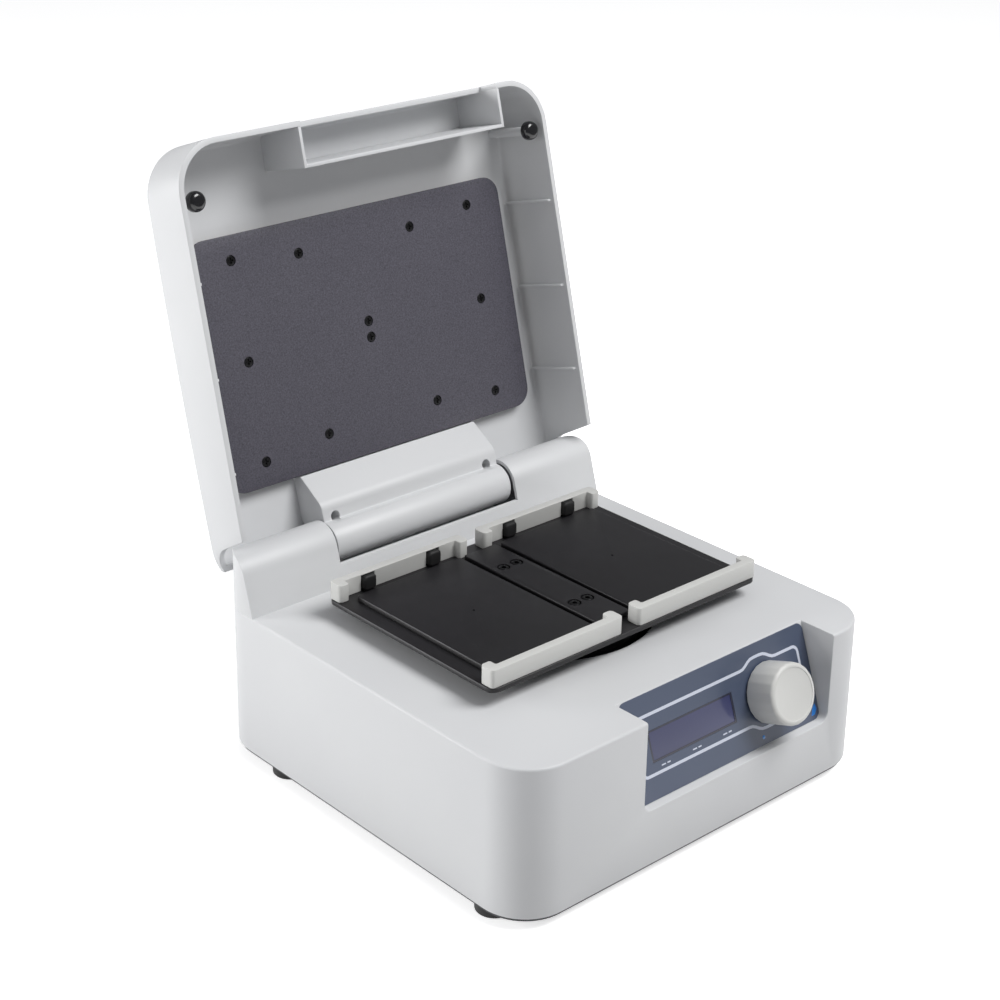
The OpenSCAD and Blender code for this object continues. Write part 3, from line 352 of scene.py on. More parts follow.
@dataclass(frozen=True)
class Finish:
    """A material: what it is made of and how its surface was made."""

    name: str
    colour: str
    roughness: float
    surface: Surface = Surface.MOULDED
    metallic: float = 0.0
    ior: float = 1.5
    coat: float = 0.0
    coat_roughness: float = 0.1
    grain_mm: float = 0.9
    depth_mm: float = 0.02
    second: str = ""
    spread: float = 0.5
    slot: str = ""

    def build(self) -> bpy.types.Material:
        """Makes the material, or gives it if it was made before."""
        made = bpy.data.materials.get(self.name)
        if made:
            return made
        material = bpy.data.materials.new(self.name)
        material.use_nodes = True
        tree = material.node_tree
        tree.nodes.clear()
        place = add_node(tree, "ShaderNodeTexCoord").outputs["Object"]
        shader = add_node(tree, "ShaderNodeBsdfPrincipled", {
            "Metallic": self.metallic, "IOR": self.ior, "Coat Weight": self.coat,
            "Coat Roughness": self.coat_roughness,
            "Base Color": self._colours(tree, place), "Roughness": self._sheen(tree, place),
            "Normal": self._relief(tree, place)})
        add_node(tree, "ShaderNodeOutputMaterial", {"Surface": shader.outputs["BSDF"]})
        material.diffuse_color = srgb(self.colour)
        return material

    def _pattern(self, tree: bpy.types.NodeTree, place: bpy.types.NodeSocket) -> bpy.types.NodeSocket:
        """Gives the surface's fine pattern as a value from 0 to 1."""
        scale = 1 / (self.grain_mm * MM)
        if self.surface is Surface.BRUSHED:
            stretched = add_node(tree, "ShaderNodeMapping", {"Vector": place, "Scale": (0.04, 1.0, 1.0)})
            return add_node(tree, "ShaderNodeTexNoise", {
                "Vector": stretched.outputs["Vector"], "Scale": scale, "Detail": 3.0}).outputs["Fac"]
        if self.surface in (Surface.CELLS, Surface.CIRCUIT):
            metric = "MANHATTAN" if self.surface is Surface.CIRCUIT else "EUCLIDEAN"
            return add_node(tree, "ShaderNodeTexVoronoi", {"Vector": place, "Scale": scale},
                            distance=metric).outputs["Distance"]
        detail = 4.0 if self.surface is Surface.POWDER else 2.0
        return add_node(tree, "ShaderNodeTexNoise", {
            "Vector": place, "Scale": scale, "Detail": detail, "Roughness": 0.6}).outputs["Fac"]

    def _colours(self, tree: bpy.types.NodeTree, place: bpy.types.NodeSocket) -> bpy.types.NodeSocket:
        """Mixes the colour with its second shade by the pattern."""
        broad = add_node(tree, "ShaderNodeTexNoise", {"Vector": place, "Scale": 9.0, "Detail": 2.0})
        fine = self.surface in (Surface.POWDER, Surface.CIRCUIT, Surface.CELLS)
        amount = self._pattern(tree, place) if fine else broad.outputs["Fac"]
        spread = add_node(tree, "ShaderNodeMapRange", {
            "Value": amount, "From Min": 0.5 - self.spread / 2, "From Max": 0.5 + self.spread / 2})
        return add_node(tree, "ShaderNodeMix", {
            "Factor": spread.outputs["Result"], 6: srgb(self.colour), 7: srgb(self.second or self.colour)},
            data_type="RGBA").outputs[2]

    def _sheen(self, tree: bpy.types.NodeTree, place: bpy.types.NodeSocket) -> bpy.types.NodeSocket:
        """Lets the roughness vary a little, as handling leaves it."""
        haze = add_node(tree, "ShaderNodeTexNoise", {"Vector": place, "Scale": 26.0, "Detail": 3.0})
        return add_node(tree, "ShaderNodeMapRange", {
            "Value": haze.outputs["Fac"], "From Min": 0.3, "From Max": 0.7,
            "To Min": self.roughness * 0.9, "To Max": min(1.0, self.roughness * 1.12)}).outputs["Result"]

    def _relief(self, tree: bpy.types.NodeTree, place: bpy.types.NodeSocket) -> bpy.types.NodeSocket:
        """Turns the pattern into a bump of real depth."""
        return add_node(tree, "ShaderNodeBump", {
            "Height": self._pattern(tree, place), "Strength": 0.6,
            "Distance": self.depth_mm * MM}).outputs["Normal"]


# ABS with a spark-eroded mould texture: an even, pale and slightly cool grey that hardly shines
CASE_ABS = Finish("spark_eroded_grey_abs", "#D6D7D8", 0.46, grain_mm=0.7, depth_mm=0.018,
                  second="#D2D3D5", slot="shell_plastic")
# The knob and the rails are a warmer and smoother ABS
KNOB_ABS = Finish("satin_warm_abs", "#D6D6D3", 0.36, grain_mm=1.2, depth_mm=0.008, second="#D1D1CE",
                  slot="knob_plastic")
RAIL_ABS = Finish("satin_white_abs", "#CFCFCC", 0.4, grain_mm=1.2, depth_mm=0.008, second="#C9C9C6",
                  slot="rail_plastic")
# Powder coat on aluminium: grey with a violet cast, and a salt-and-pepper speckle, which is drawn coarser
# than the real grain so that it shows
HEATER_COAT = Finish("speckled_powder_coat", "#37353D", 0.5, Surface.POWDER, grain_mm=0.9, depth_mm=0.035,
                     second="#5C5A65", spread=0.5, slot="dark_plate")
# Black anodised aluminium: nearly black, with a soft and broad highlight
TRAY_ANODISE = Finish("black_anodised_aluminium", "#161517", 0.42, grain_mm=0.8, depth_mm=0.015,
                      second="#1C1B1E", slot="black_tray")
# Printed polyester film: slate blue under a clear satin face
PANEL_FILM = Finish("slate_printed_film", "#4C566C", 0.34, grain_mm=0.6, depth_mm=0.004, second="#465065",
                    coat=0.25, coat_roughness=0.2, slot="film")
PALE_INK = Finish("pale_screen_ink", "#D5D9E6", 0.45, grain_mm=0.6, depth_mm=0.002, second="#CDD2E0",
                  slot="film")
BLUE_INK = Finish("blue_screen_ink", "#1E7AD2", 0.4, grain_mm=0.6, depth_mm=0.002, second="#1B72C6",
                  slot="film")
# The display is dark blue glass over an unlit liquid crystal
DISPLAY_FACE = Finish("unlit_display_blue", "#2C3056", 0.2, grain_mm=2.0, depth_mm=0.001,
                      second="#383C66", coat=0.6, coat_roughness=0.04, slot="display")
DISPLAY_EDGE = Finish("display_border_black", "#2A2C3D", 0.25, grain_mm=2.0, depth_mm=0.001,
                      second="#26283A", coat=0.5, coat_roughness=0.05, slot="display")
LAMP_LENS = Finish("blue_lamp_lens", "#2C86D8", 0.18, grain_mm=2.0, depth_mm=0.001, second="#2477C8",
                   coat=0.5, slot="lamp")
# Chloroprene rubber: black, with a moulding skin that shines on the small bumpers
GLOSS_RUBBER = Finish("skinned_black_rubber", "#0E0E11", 0.2, grain_mm=1.5, depth_mm=0.004,
                      second="#121216", coat=0.4, slot="black_rubber")
MATT_RUBBER = Finish("matt_black_rubber", "#121213", 0.62, grain_mm=0.8, depth_mm=0.02, second="#171718",
                     slot="black_rubber")
BLACK_OXIDE = Finish("black_oxide_steel", "#151516", 0.34, metallic=0.6, grain_mm=0.8, depth_mm=0.006,
                     second="#1B1B1D", slot="black_steel")
BLACK_NYLON = Finish("black_nylon", "#17171A", 0.42, grain_mm=0.8, depth_mm=0.012, second="#1B1B1F",
                     slot="black_plastic")
ROCKER_NYLON = Finish("polished_black_nylon", "#121214", 0.22, grain_mm=1.5, depth_mm=0.003,
                      second="#151518", slot="rocker_plastic")
TURNED_STEEL = Finish("turned_steel", "#B9BABD", 0.28, Surface.BRUSHED, metallic=1.0, grain_mm=0.4,
                      depth_mm=0.006, second="#A9AAAE", slot="steel")
BASE_COAT = Finish("dark_powder_coat", "#3A3B3E", 0.55, Surface.POWDER, grain_mm=0.9, depth_mm=0.03,
                   second="#434448", slot="base_steel")
MILLED_ALUMINIUM = Finish("milled_aluminium", "#B4B6BA", 0.34, Surface.BRUSHED, metallic=1.0,
                          grain_mm=0.6, depth_mm=0.008, second="#A5A7AC", slot="aluminium")
BLACK_ALUMINIUM = Finish("black_coated_aluminium", "#1B1B1D", 0.45, grain_mm=0.8, depth_mm=0.015,
                         second="#212124", slot="aluminium")
MOTOR_PAINT = Finish("grey_motor_enamel", "#2E3033", 0.4, grain_mm=1.0, depth_mm=0.01, second="#333539",
                     slot="motor_paint")
BUSH_BRONZE = Finish("sintered_bronze", "#B08A4A", 0.4, Surface.POWDER, metallic=1.0, grain_mm=0.5,
                     depth_mm=0.01, second="#A07C40", slot="bronze")
SOLDER_MASK = Finish("green_solder_mask", "#1B5B36", 0.35, Surface.CIRCUIT, grain_mm=3.0, depth_mm=0.02,
                     second="#237043", coat=0.2, slot="board")
HEATER_SILICONE = Finish("orange_heater_silicone", "#B4502A", 0.55, grain_mm=1.2, depth_mm=0.02,
                         second="#A84825", slot="mat_silicone")
LID_FOAM = Finish("closed_cell_foam", "#CFC3A2", 0.85, Surface.CELLS, grain_mm=1.4, depth_mm=0.1,
                  second="#BDB08E", slot="foam")


def settle(obj: bpy.types.Object, body: str, finish: Finish, hides: Sequence[str] = ()) -> bpy.types.Object:
    """Shades a finished piece, gives it its material and ties it to its body.

    Args:
        obj: The piece in its place.
        body: The body that it rides on.
        finish: Its material.
        hides: The construction nodes that it stands for.

    Returns:
        The piece.
    """
    activate(obj)
    bpy.ops.object.shade_smooth_by_angle(angle=SMOOTH_ANGLE)
    obj.data.materials.clear()
    obj.data.materials.append(finish.build())
    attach(obj, body)
    if hides:
        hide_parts(*hides)
    log.info("%s rides on %s with %d faces", obj.name, body, len(obj.data.polygons))
    return obj


def dress(nodes: Sequence[str], finish: Finish) -> None:
    """Gives construction nodes that stay as they are their material."""
    material = finish.build()
    for node in nodes:
        for slot in frame["nodes"][node].material_slots:
            slot.material = material
        log.info("%s keeps its solid in %s", node, finish.name)


# Places

@dataclass(frozen=True)
class Deck:
    """The deck's frame: y runs back from the housing's front and z up from the deck, in millimetres."""

    front: float
    level: float
    hinge: Vector
    opened: float

    @classmethod
    def from_frame(cls) -> "Deck":
        """Reads the deck and the lid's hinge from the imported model."""
        low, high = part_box("housing")
        joint = next(j for j in frame["joints"] if j["name"] == "lid_hinge")
        return cls(low.y, high.z, Vector(joint["pos_m"]), math.radians(joint["range_deg"][1]))

    @property
    def hinge_y(self) -> float:
        """The hinge axis behind the housing's front, in millimetres."""
        return (self.hinge.y - self.front) / MM

    @property
    def hinge_z(self) -> float:
        """The hinge axis above the deck, in millimetres."""
        return (self.hinge.z - self.level) / MM

    def span(self, node: str) -> tuple[Vector, Vector]:
        """Gives a construction node's box in the deck's frame and in millimetres."""
        shift = Vector((0, self.front, self.level))
        low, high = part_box(node)
        return (Vector(low) - shift) / MM, (Vector(high) - shift) / MM

    def put(self, obj: bpy.types.Object) -> bpy.types.Object:
        """Moves a piece from the deck's frame to its place."""
        obj.data.transform(Matrix.Translation((0, self.front, self.level)))
        return obj

    def swing(self, obj: bpy.types.Object) -> bpy.types.Object:
        """Moves a piece of the lid, modelled shut in the deck's frame, to its place on the open lid."""
        self.put(obj)
        turn = Matrix.Rotation(-self.opened, 4, "X")
        obj.data.transform(Matrix.Translation(self.hinge) @ turn @ Matrix.Translation(-self.hinge))
        return obj


@dataclass
class Recess:
    """The sloped recess for the control panel, and the panel's own frame."""

    centre: float = 26.75
    width: float = 156.5
    depth: float = 25.5
    ledge: float = 5.2
    height: float = 57.5
    corner: float = 6.0

    @property
    def left(self) -> float:
        """The recess's left side."""
        return self.centre - self.width / 2

    @property
    def right(self) -> float:
        """The recess's right side."""
        return self.centre + self.width / 2

    @property
    def slope(self) -> float:
        """Length of the panel up its slope."""
        return math.hypot(self.height, self.depth - self.ledge)

    def tool(self) -> bpy.types.Object:
        """Makes the block that cuts the recess."""
        outline = [(-2, 2), (self.depth + 0.7, 2), (self.ledge, -self.height), (-2, -self.height)]
        obj = profile("recess_tool", outline, self.left, self.right)
        low = -self.height * MM

        def lower_corner(first: Vector, second: Vector) -> bool:
            """Tells the two lower edges that run to the back."""
            return abs(first.x - second.x) < NEAR and abs(first.z - low) < NEAR and abs(second.z - low) < NEAR

        round_edges(obj, self.corner, 6, lower_corner)
        return obj

    def onto_panel(self, deck: Deck, obj: bpy.types.Object) -> bpy.types.Object:
        """Moves a piece from the panel's frame, whose z leaves the panel, to its place."""
        tilt = math.atan2(self.height, self.depth - self.ledge)
        shift = Matrix.Translation(mm(self.centre, self.ledge, -self.height))
        obj.data.transform(shift @ Matrix.Rotation(tilt, 4, "X"))
        return deck.put(obj)


@dataclass(frozen=True)
class CoverForm:
    """The hinge cover's form from the side: a round top and two flat flanks that reach down to the deck."""

    radius: float = 15.0
    feet: tuple[float, float] = (237.0, 272.0)

    def flank(self, deck: Deck, rear: bool, grow: float, low: float) -> tuple[float, float]:
        """Finds where a flank leaves the round top and where it ends below.

        Args:
            deck: The deck's frame, which gives the hinge axis.
            rear: Whether it is the rear flank.
            grow: How far the form is grown, in millimetres.
            low: Height of the flank's lower end, in millimetres.

        Returns:
            The angle at which the flank leaves the top, in degrees, and the y of its lower end.
        """
        y, z, reach = deck.hinge_y, deck.hinge_z, self.radius + grow
        run = self.feet[1 if rear else 0] - y
        spread = math.acos(self.radius / math.hypot(run, z))
        turn = math.atan2(-z, run) + (spread if rear else -spread)
        slide = (low - z - reach * math.sin(turn)) / math.cos(turn)
        start = math.degrees(turn)
        return (start if rear else start % 360), y + reach * math.cos(turn) - slide * math.sin(turn)


COVER_FORM = CoverForm()


# Sub-assemblies

@dataclass
class Case:
    """The moulded housing, its base and its feet."""

    deck: Deck
    recess: Recess
    width: float = 288.0
    depth: float = 276.0
    wall: float = 93.0
    corner: float = 30.0
    rim: float = 1.7
    skin: float = 3.0
    hole: float = 68.0

    def off_outline(self, point: Vector, inset: float = 0.0) -> float:
        """Gives a point's distance from the outline seen from above, in millimetres."""
        reach = self.corner
        x = max(0.0, abs(point.x / MM) - (self.width / 2 - reach))
        y = max(0.0, abs(point.y / MM - self.depth / 2) - (self.depth / 2 - reach))
        return abs(math.hypot(x, y) - reach + inset)

    def build(self) -> None:
        """Builds the housing and the feet and dresses the base."""
        settle(self.deck.put(self._shell()), "body", CASE_ABS, ["housing"])
        for end in ("front_left", "front_right", "rear_left", "rear_right"):
            self._foot("foot_" + end)
        dress(["base_plate"], BASE_COAT)
        dress(["foot_screws"], TURNED_STEEL)

    def _shell(self) -> bpy.types.Object:
        """Models the housing as a thin shell, open below."""
        outline = rounded(-self.width / 2, self.width / 2, 0, self.depth, self.corner, 12)
        obj = plate("housing_shell", outline, -self.wall, 0)
        combine(obj, [self.recess.tool()])

        def on_rim(first: Vector, second: Vector) -> bool:
            """Tells the deck's outer edge."""
            middle = (first + second) / 2
            level = abs(first.z) < NEAR and abs(second.z) < NEAR
            return level and max(self.off_outline(p) for p in (first, second, middle)) < 0.2

        def in_recess(first: Vector, second: Vector) -> bool:
            """Tells the recess's own edges."""
            left, right = self.recess.left - 0.3, self.recess.right + 0.3
            return all(left < p.x / MM < right and p.y / MM < self.recess.depth + 0.3
                       and p.z / MM > -self.recess.height - 0.3 for p in (first, second))

        round_edges(obj, self.rim, 5, on_rim)
        round_edges(obj, 0.5, 3, in_recess, sharp=True, clamp=False)
        drop_face(obj, lambda centre, normal: normal.z < -0.9 and centre.z / MM < -self.wall + 1)
        modifier = obj.modifiers.new("wall", "SOLIDIFY")
        modifier.thickness = self.skin * MM
        modifier.offset = -1.0
        modifier.use_even_offset = True
        apply_all(obj)
        combine(obj, [disc("hole_tool", 0, self.depth / 2, -8, 4, self.hole, 96)])
        middle = Vector((0, self.depth / 2 * MM, 0))

        def on_hole(first: Vector, second: Vector) -> bool:
            """Tells the upper edge of the deck's round hole."""
            return all(abs(p.z) < NEAR and abs((p - middle).length / MM - self.hole) < 0.1
                       for p in (first, second))

        round_edges(obj, 1.4, 3, on_hole)
        return obj

    def _foot(self, node: str) -> None:
        """Models one rubber foot with its screw's counterbore."""
        low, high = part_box(node)
        radius = (high.x - low.x) / 2 / MM
        height = (high.z - low.z) / MM
        obj = disc(node + "_rubber", 0, 0, 0, height, radius, 48)
        round_edges(obj, 1.2, 3, lambda a, b: a.z < NEAR and b.z < NEAR)
        combine(obj, [disc("bore_tool", 0, 0, -1, height / 2, radius * 0.38, 24),
                      disc("shank_tool", 0, 0, -1, height + 1, radius * 0.2, 24)])
        obj.data.transform(Matrix.Translation(((low.x + high.x) / 2, (low.y + high.y) / 2, low.z)))
        settle(obj, "body", MATT_RUBBER, [node])


@dataclass
class ControlPanel:
    """The printed film, the display and the knob in the recess."""

    deck: Deck
    recess: Recess
    film: float = 0.55
    inset: float = 0.7
    window: tuple[float, float, float, float] = (-60.5, 9.5, 20.75, 39.25)
    knob_at: tuple[float, float] = (38.1, 29.6)
    knob_radius: float = 18.5
    knob_base: float = 1.7
    knob_height: float = 20.2
    knob_bevel: float = 2.3
    flats: int = 20
    line_width: float = 1.8

    def build(self) -> None:
        """Builds the film, the print, the display, the lamp and the knob."""
        half = self.recess.width / 2 - self.inset
        top = self.recess.slope - self.inset
        outline = rounded(-half, half, self.inset, top, self.recess.corner - 1)
        film = plate("panel_film_print", outline, 0.05, self.film)
        x0, x1, s0, s1 = self.window
        combine(film, [block("window_tool", (x0, s0, -2), (x1, s1, 2)),
                       disc("knob_tool", *self.knob_at, -2, 2, 4.4, 32)])
        self._put(film, "body", PANEL_FILM, ["panel_film"])
        self._display()
        self._print()
        self._knob()
        lamp = disc("lamp_lens", self.knob_at[0] - 10, 5.2, -2, self.film + 0.12, 1.25, 32)
        round_edges(lamp, 0.3, 3, lambda a, b: min(a.z, b.z) > 0)
        self._put(lamp, "body", LAMP_LENS, ["indicator_lamp"])
        dress(["encoder", "encoder_shaft", "encoder_plunger"], TURNED_STEEL)
        dress(["display_module", "control_board"], SOLDER_MASK)

    def _put(self, obj: bpy.types.Object, body: str, finish: Finish, hides: Sequence[str] = ()) -> None:
        """Moves a piece onto the panel and finishes it."""
        settle(self.recess.onto_panel(self.deck, obj), body, finish, hides)

    def _display(self) -> None:
        """Models the display's black border and its blue face, which lies a little lower."""
        x0, x1, s0, s1 = self.window
        rim = rounded(x0 + 0.1, x1 - 0.1, s0 + 0.1, s1 - 0.1, 0.6)
        border = plate("display_border", rim, -1.45, self.film - 0.1)
        sunk = rounded(x0 + 1.4, x1 - 1.4, s0 + 1.2, s1 - 1.2, 0.4)
        combine(border, [plate("face_tool", sunk, self.film - 0.45, 3)])
        self._put(border, "body", DISPLAY_EDGE, ["display_window"])
        glass = rounded(x0 + 1.5, x1 - 1.5, s0 + 1.3, s1 - 1.3, 0.4)
        face = plate("display_face", glass, self.film - 0.55, self.film - 0.3)
        self._put(face, "body", DISPLAY_FACE)

    def _inked(self, name: str, outline: Sequence[tuple[float, float]]) -> bpy.types.Object:
        """Raises a printed shape a little above the film."""
        return plate(name, outline, self.film - 0.02, self.film + 0.06)

    def _ribbon(self, name: str, path: Sequence[tuple[float, float]], width: float) -> bpy.types.Object:
        """Models a printed line along a closed path.

        Args:
            name: Name of the piece.
            path: Points of the line's middle, in the panel's frame and in millimetres.
            width: Width of the line in millimetres.

        Returns:
            The line as a thin raised loop.
        """
        count = len(path)
        inner, outer = [], []
        for i, (x, y) in enumerate(path):
            back, ahead = Vector(path[i - 1]), Vector(path[(i + 1) % count])
            run = (ahead - back).normalized()
            side = Vector((-run.y, run.x)) * width / 2
            inner.append((x + side.x, y + side.y))
            outer.append((x - side.x, y - side.y))
        line = self._inked(name, outer)
        combine(line, [plate("line_tool", inner, self.film - 1, self.film + 1)])
        return line

    def _print(self) -> None:
        """Models the pale line round the display and the knob, and the plain marks."""
        left, right = -69.0, 69.5
        low, high = self.recess.slope - 46.5, self.recess.slope - 12.9
        swell = ((0.0, 0.0), (2.6, 0.35), (5.0, 1.5), (7.4, 3.0), (10.0, 4.1), (13.0, 4.4))
        lower = [(18.5 + step, low - rise) for step, rise in swell]
        lower += [(57.5 - step, low - rise) for step, rise in reversed(swell)]
        upper = [(50.5 - step, high + rise) for step, rise in swell]
        upper += [(19.5 + step, high + rise) for step, rise in reversed(swell)]
        path = (arc(left + 3, low + 3, 3, 180, 270, 6) + lower + arc(right - 4, low + 4, 4, -90, 0, 6)
                + arc(right - 4, high - 4, 4, 0, 90, 6) + upper + arc(left + 3, high - 3, 3, 90, 180, 6))
        self._put(self._ribbon("panel_line", path, self.line_width), "body", PALE_INK)
        marks = []
        for x in (-52.0, -26.5, -1.0):
            for step, length in ((0.0, 3.4), (4.6, 2.6)):
                start = x + step - 2.5
                marks.append(self._inked("mark", rounded(start, start + length, 17.3, 18.1, 0.3, 3)))
        self._put(join(marks, "readout_marks"), "body", PALE_INK)
        corner = [(right + u, v) for u, v in ((1.0, 3.4), (4.0, 3.6), (6.4, 6.4), (5.4, 10.0), (3.2, 8.4))]
        self._put(self._inked("corner_mark", corner), "body", BLUE_INK)

    def _knob(self) -> None:
        """Models the knob: flats round its side, a rounded rim, a dished face and a hollow underside."""
        share = math.pi / self.flats
        obj = disc("knob_cap", 0, 0, 0, self.knob_height, self.knob_radius, self.flats * 6)
        top = self.knob_height * MM - NEAR
        round_edges(obj, self.knob_bevel, 6, lambda a, b: a.z > top and b.z > top)
        for vertex in obj.data.vertices:
            turn = math.atan2(vertex.co.y, vertex.co.x) % (2 * share) - share
            flat = math.cos(share) / math.cos(turn)
            fade = min(1.0, max(0.0, (self.knob_height - vertex.co.z / MM) / self.knob_bevel))
            if vertex.co.xy.length > 1 * MM:
                vertex.co.xy = vertex.co.xy * (1 + (flat - 1) * fade)
        combine(obj, [disc("hollow_tool", 0, 0, -1, self.knob_height - 4, self.knob_radius - 2.2, 64),
                      disc("dish_tool", 0, 0, self.knob_height - 0.4, self.knob_height + 2,
                           self.knob_radius - self.knob_bevel - 0.6, 96)])
        soften(obj, 0.25, 2, 50)
        stem = disc("knob_stem", 0, 0, 2.0, self.knob_height - 3.5, 5.6, 32)
        combine(stem, [disc("stem_tool", 0, 0, 0, self.knob_height - 3, 3.04, 32)])
        obj = join([obj, stem], "knob_cap")
        obj.data.transform(Matrix.Translation(mm(*self.knob_at, self.knob_base)))
        self._put(obj, "knob", KNOB_ABS, ["knob"])


@dataclass
class Tray:
    """The shaking tray with its pads, rails, tabs and screws."""

    deck: Deck
    middle: tuple[float, float]
    low: float
    top: float
    size: tuple[float, float]
    bay_x: float
    bay: tuple[float, float]
    rail: float
    pad: tuple[float, float]
    pad_rise: float
    strip: float
    rail_t: float = 5.5
    end_t: float = 7.2
    stub: float = 10.5
    tab_x: float = 25.5
    tab: tuple[float, float] = (9.8, 10.0)
    tab_out: float = 3.0
    tab_back: float = 1.8
    rail_edge: float = 0.35
    screws: tuple[float, float] = (5.3, 31.0)
    seat: float = 4.2

    @classmethod
    def from_frame(cls, deck: Deck) -> "Tray":
        """Reads the tray's sizes from its construction nodes."""
        low, high = deck.span("tray")
        middle = (low + high) / 2
        pad_low, pad_high = deck.span("heated_pad_right")
        front, rear = deck.span("rail_front_right"), deck.span("rail_rear_right")
        strip_low, strip_high = deck.span("centre_strip")
        return cls(deck, middle=(middle.x, middle.y), low=low.z, top=high.z,
                   size=(high.x - low.x, high.y - low.y), bay_x=(pad_low.x + pad_high.x) / 2 - middle.x,
                   bay=(front[1].x - front[0].x, rear[1].y - front[0].y), rail=front[1].z - front[0].z,
                   pad=(pad_high.x - pad_low.x, pad_high.y - pad_low.y), pad_rise=pad_high.z - pad_low.z,
                   strip=strip_high.x - strip_low.x)

    def build(self) -> None:
        """Builds the tray's pieces."""
        w, d = self.size[0] / 2, self.size[1] / 2
        slab = plate("tray_slab", rounded(-w, w, -d, d, 6.0), self.low, self.top)
        soften(slab, 0.7, 3)
        self._put(slab, TRAY_ANODISE, ["tray"])
        for name, side in (("left", -1), ("right", 1)):
            self._pad(name, side)
            for end, turn in (("front", -1), ("rear", 1)):
                self._rail(name, side, end, turn)
        self._strip()
        self._tabs()
        dress(["carrier"], BLACK_ALUMINIUM)
        dress(["carrier_bearing"], TURNED_STEEL)

    def _put(self, obj: bpy.types.Object, finish: Finish, hides: Sequence[str] = ()) -> None:
        """Moves a piece from the tray's middle to its place and finishes it."""
        obj.data.transform(Matrix.Translation(mm(*self.middle, 0)))
        settle(self.deck.put(obj), "shaking_tray", finish, hides)

    def _pad(self, name: str, side: int) -> None:
        """Models one heated pad with its pin hole."""
        x, w, d = side * self.bay_x, self.pad[0] / 2, self.pad[1] / 2
        outline = rounded(x - w, x + w, -d, d, 2.0, 5)
        pad = plate("pad_face_" + name, outline, self.top, self.top + self.pad_rise)
        soften(pad, 0.6, 3)
        combine(pad, [disc("pin_tool", x, 0, self.top + 1, self.top + 4, 0.8, 16)])
        self._put(pad, TRAY_ANODISE, ["heated_pad_" + name])

    def _strip(self) -> None:
        """Models the strip between the pads and its four socket screws."""
        x, y = self.screws
        places = [(i * x, j * y) for i in (-1, 1) for j in (-1, 1)]
        w, d = self.strip / 2, self.pad[1] / 2
        strip = plate("strip_face", rounded(-w, w, -d, d, 1.0, 4), self.top, self.top + self.pad_rise)
        soften(strip, 0.5, 2)
        face = self.top + self.pad_rise
        combine(strip, [disc("seat_tool", px, py, face - 2.0, face + 2, self.seat, 40) for px, py in places])
        self._put(strip, TRAY_ANODISE, ["centre_strip"])
        head = disc("tray_screw_heads", 0, 0, face - 2.1, face - 0.1, 3.3, 40)
        round_edges(head, 0.5, 3, lambda a, b: min(a.z, b.z) > (face - 1) * MM)
        combine(head, [disc("socket_tool", 0, 0, face - 1.5, face + 2, 1.7, 6)])
        heads = copies(head, [mm(px, py, 0) for px, py in places], "tray_screw_heads")
        self._put(heads, BLACK_OXIDE, ["tray_screws"])

    def _rail(self, name: str, side: int, end: str, turn: int) -> None:
        """Models one rail, which wraps one end of a bay.

        Args:
            name: The bay's name.
            side: -1 for the left bay and 1 for the right one.
            end: The end's name.
            turn: -1 for the front end and 1 for the rear one.
        """
        w, y1 = self.bay[0] / 2, self.bay[1] / 2
        iw, iy, tip = w - self.end_t, y1 - self.rail_t, y1 - self.stub
        half = (arc(w - 2.5, y1 - 2.5, 2.5, 90, 0, 6) + arc(w - 2.5, tip + 2.5, 2.5, 0, -90, 5)
                + arc(iw + 1.5, tip + 1.5, 1.5, -90, -180, 4) + arc(iw - 1.0, iy - 1.0, 1.0, 0, 90, 3))
        outline = [(x, y * turn) for x, y in half] + [(-x, y * turn) for x, y in reversed(half)]
        obj = plate("rail_%s_%s_rim" % (end, name), outline, self.top, self.top + self.rail)
        if turn > 0:
            half_tab, reach = self.tab[0] / 2 + 0.2, self.top + self.tab[1] + 0.2
            near, far = y1 - 2 * self.rail_t, y1 - self.tab_back + 0.2
            combine(obj, [block("slot_tool", (t - half_tab, near, self.top - 1), (t + half_tab, far, reach))
                          for t in (-self.tab_x, self.tab_x)])
        soften(obj, self.rail_edge, 3)
        obj.data.transform(Matrix.Translation(mm(side * self.bay_x, 0, 0)))
        self._put(obj, RAIL_ABS, ["rail_%s_%s" % (end, name)])

    def _tabs(self) -> None:
        """Models the rubber tabs that press the plates forward."""
        half, height = self.tab[0] / 2, self.tab[1]
        run = self.rail_t - self.tab_back + self.tab_out
        outline = rounded(-half, half, 0.2, height, 2.6, 6)
        tab = extruded("plate_tab_rubber", [mm(x, 0, z) for x, z in outline], mm(0, run, 0))
        round_edges(tab, 1.7, 5, lambda a, b: max(a.y, b.y) < NEAR)
        y = self.bay[1] / 2 - self.tab_back - run
        places = [mm(s * self.bay_x + t, y, self.top) for s in (-1, 1) for t in (-self.tab_x, self.tab_x)]
        self._put(copies(tab, places, "plate_tab_rubber"), MATT_RUBBER, ["plate_tabs"])


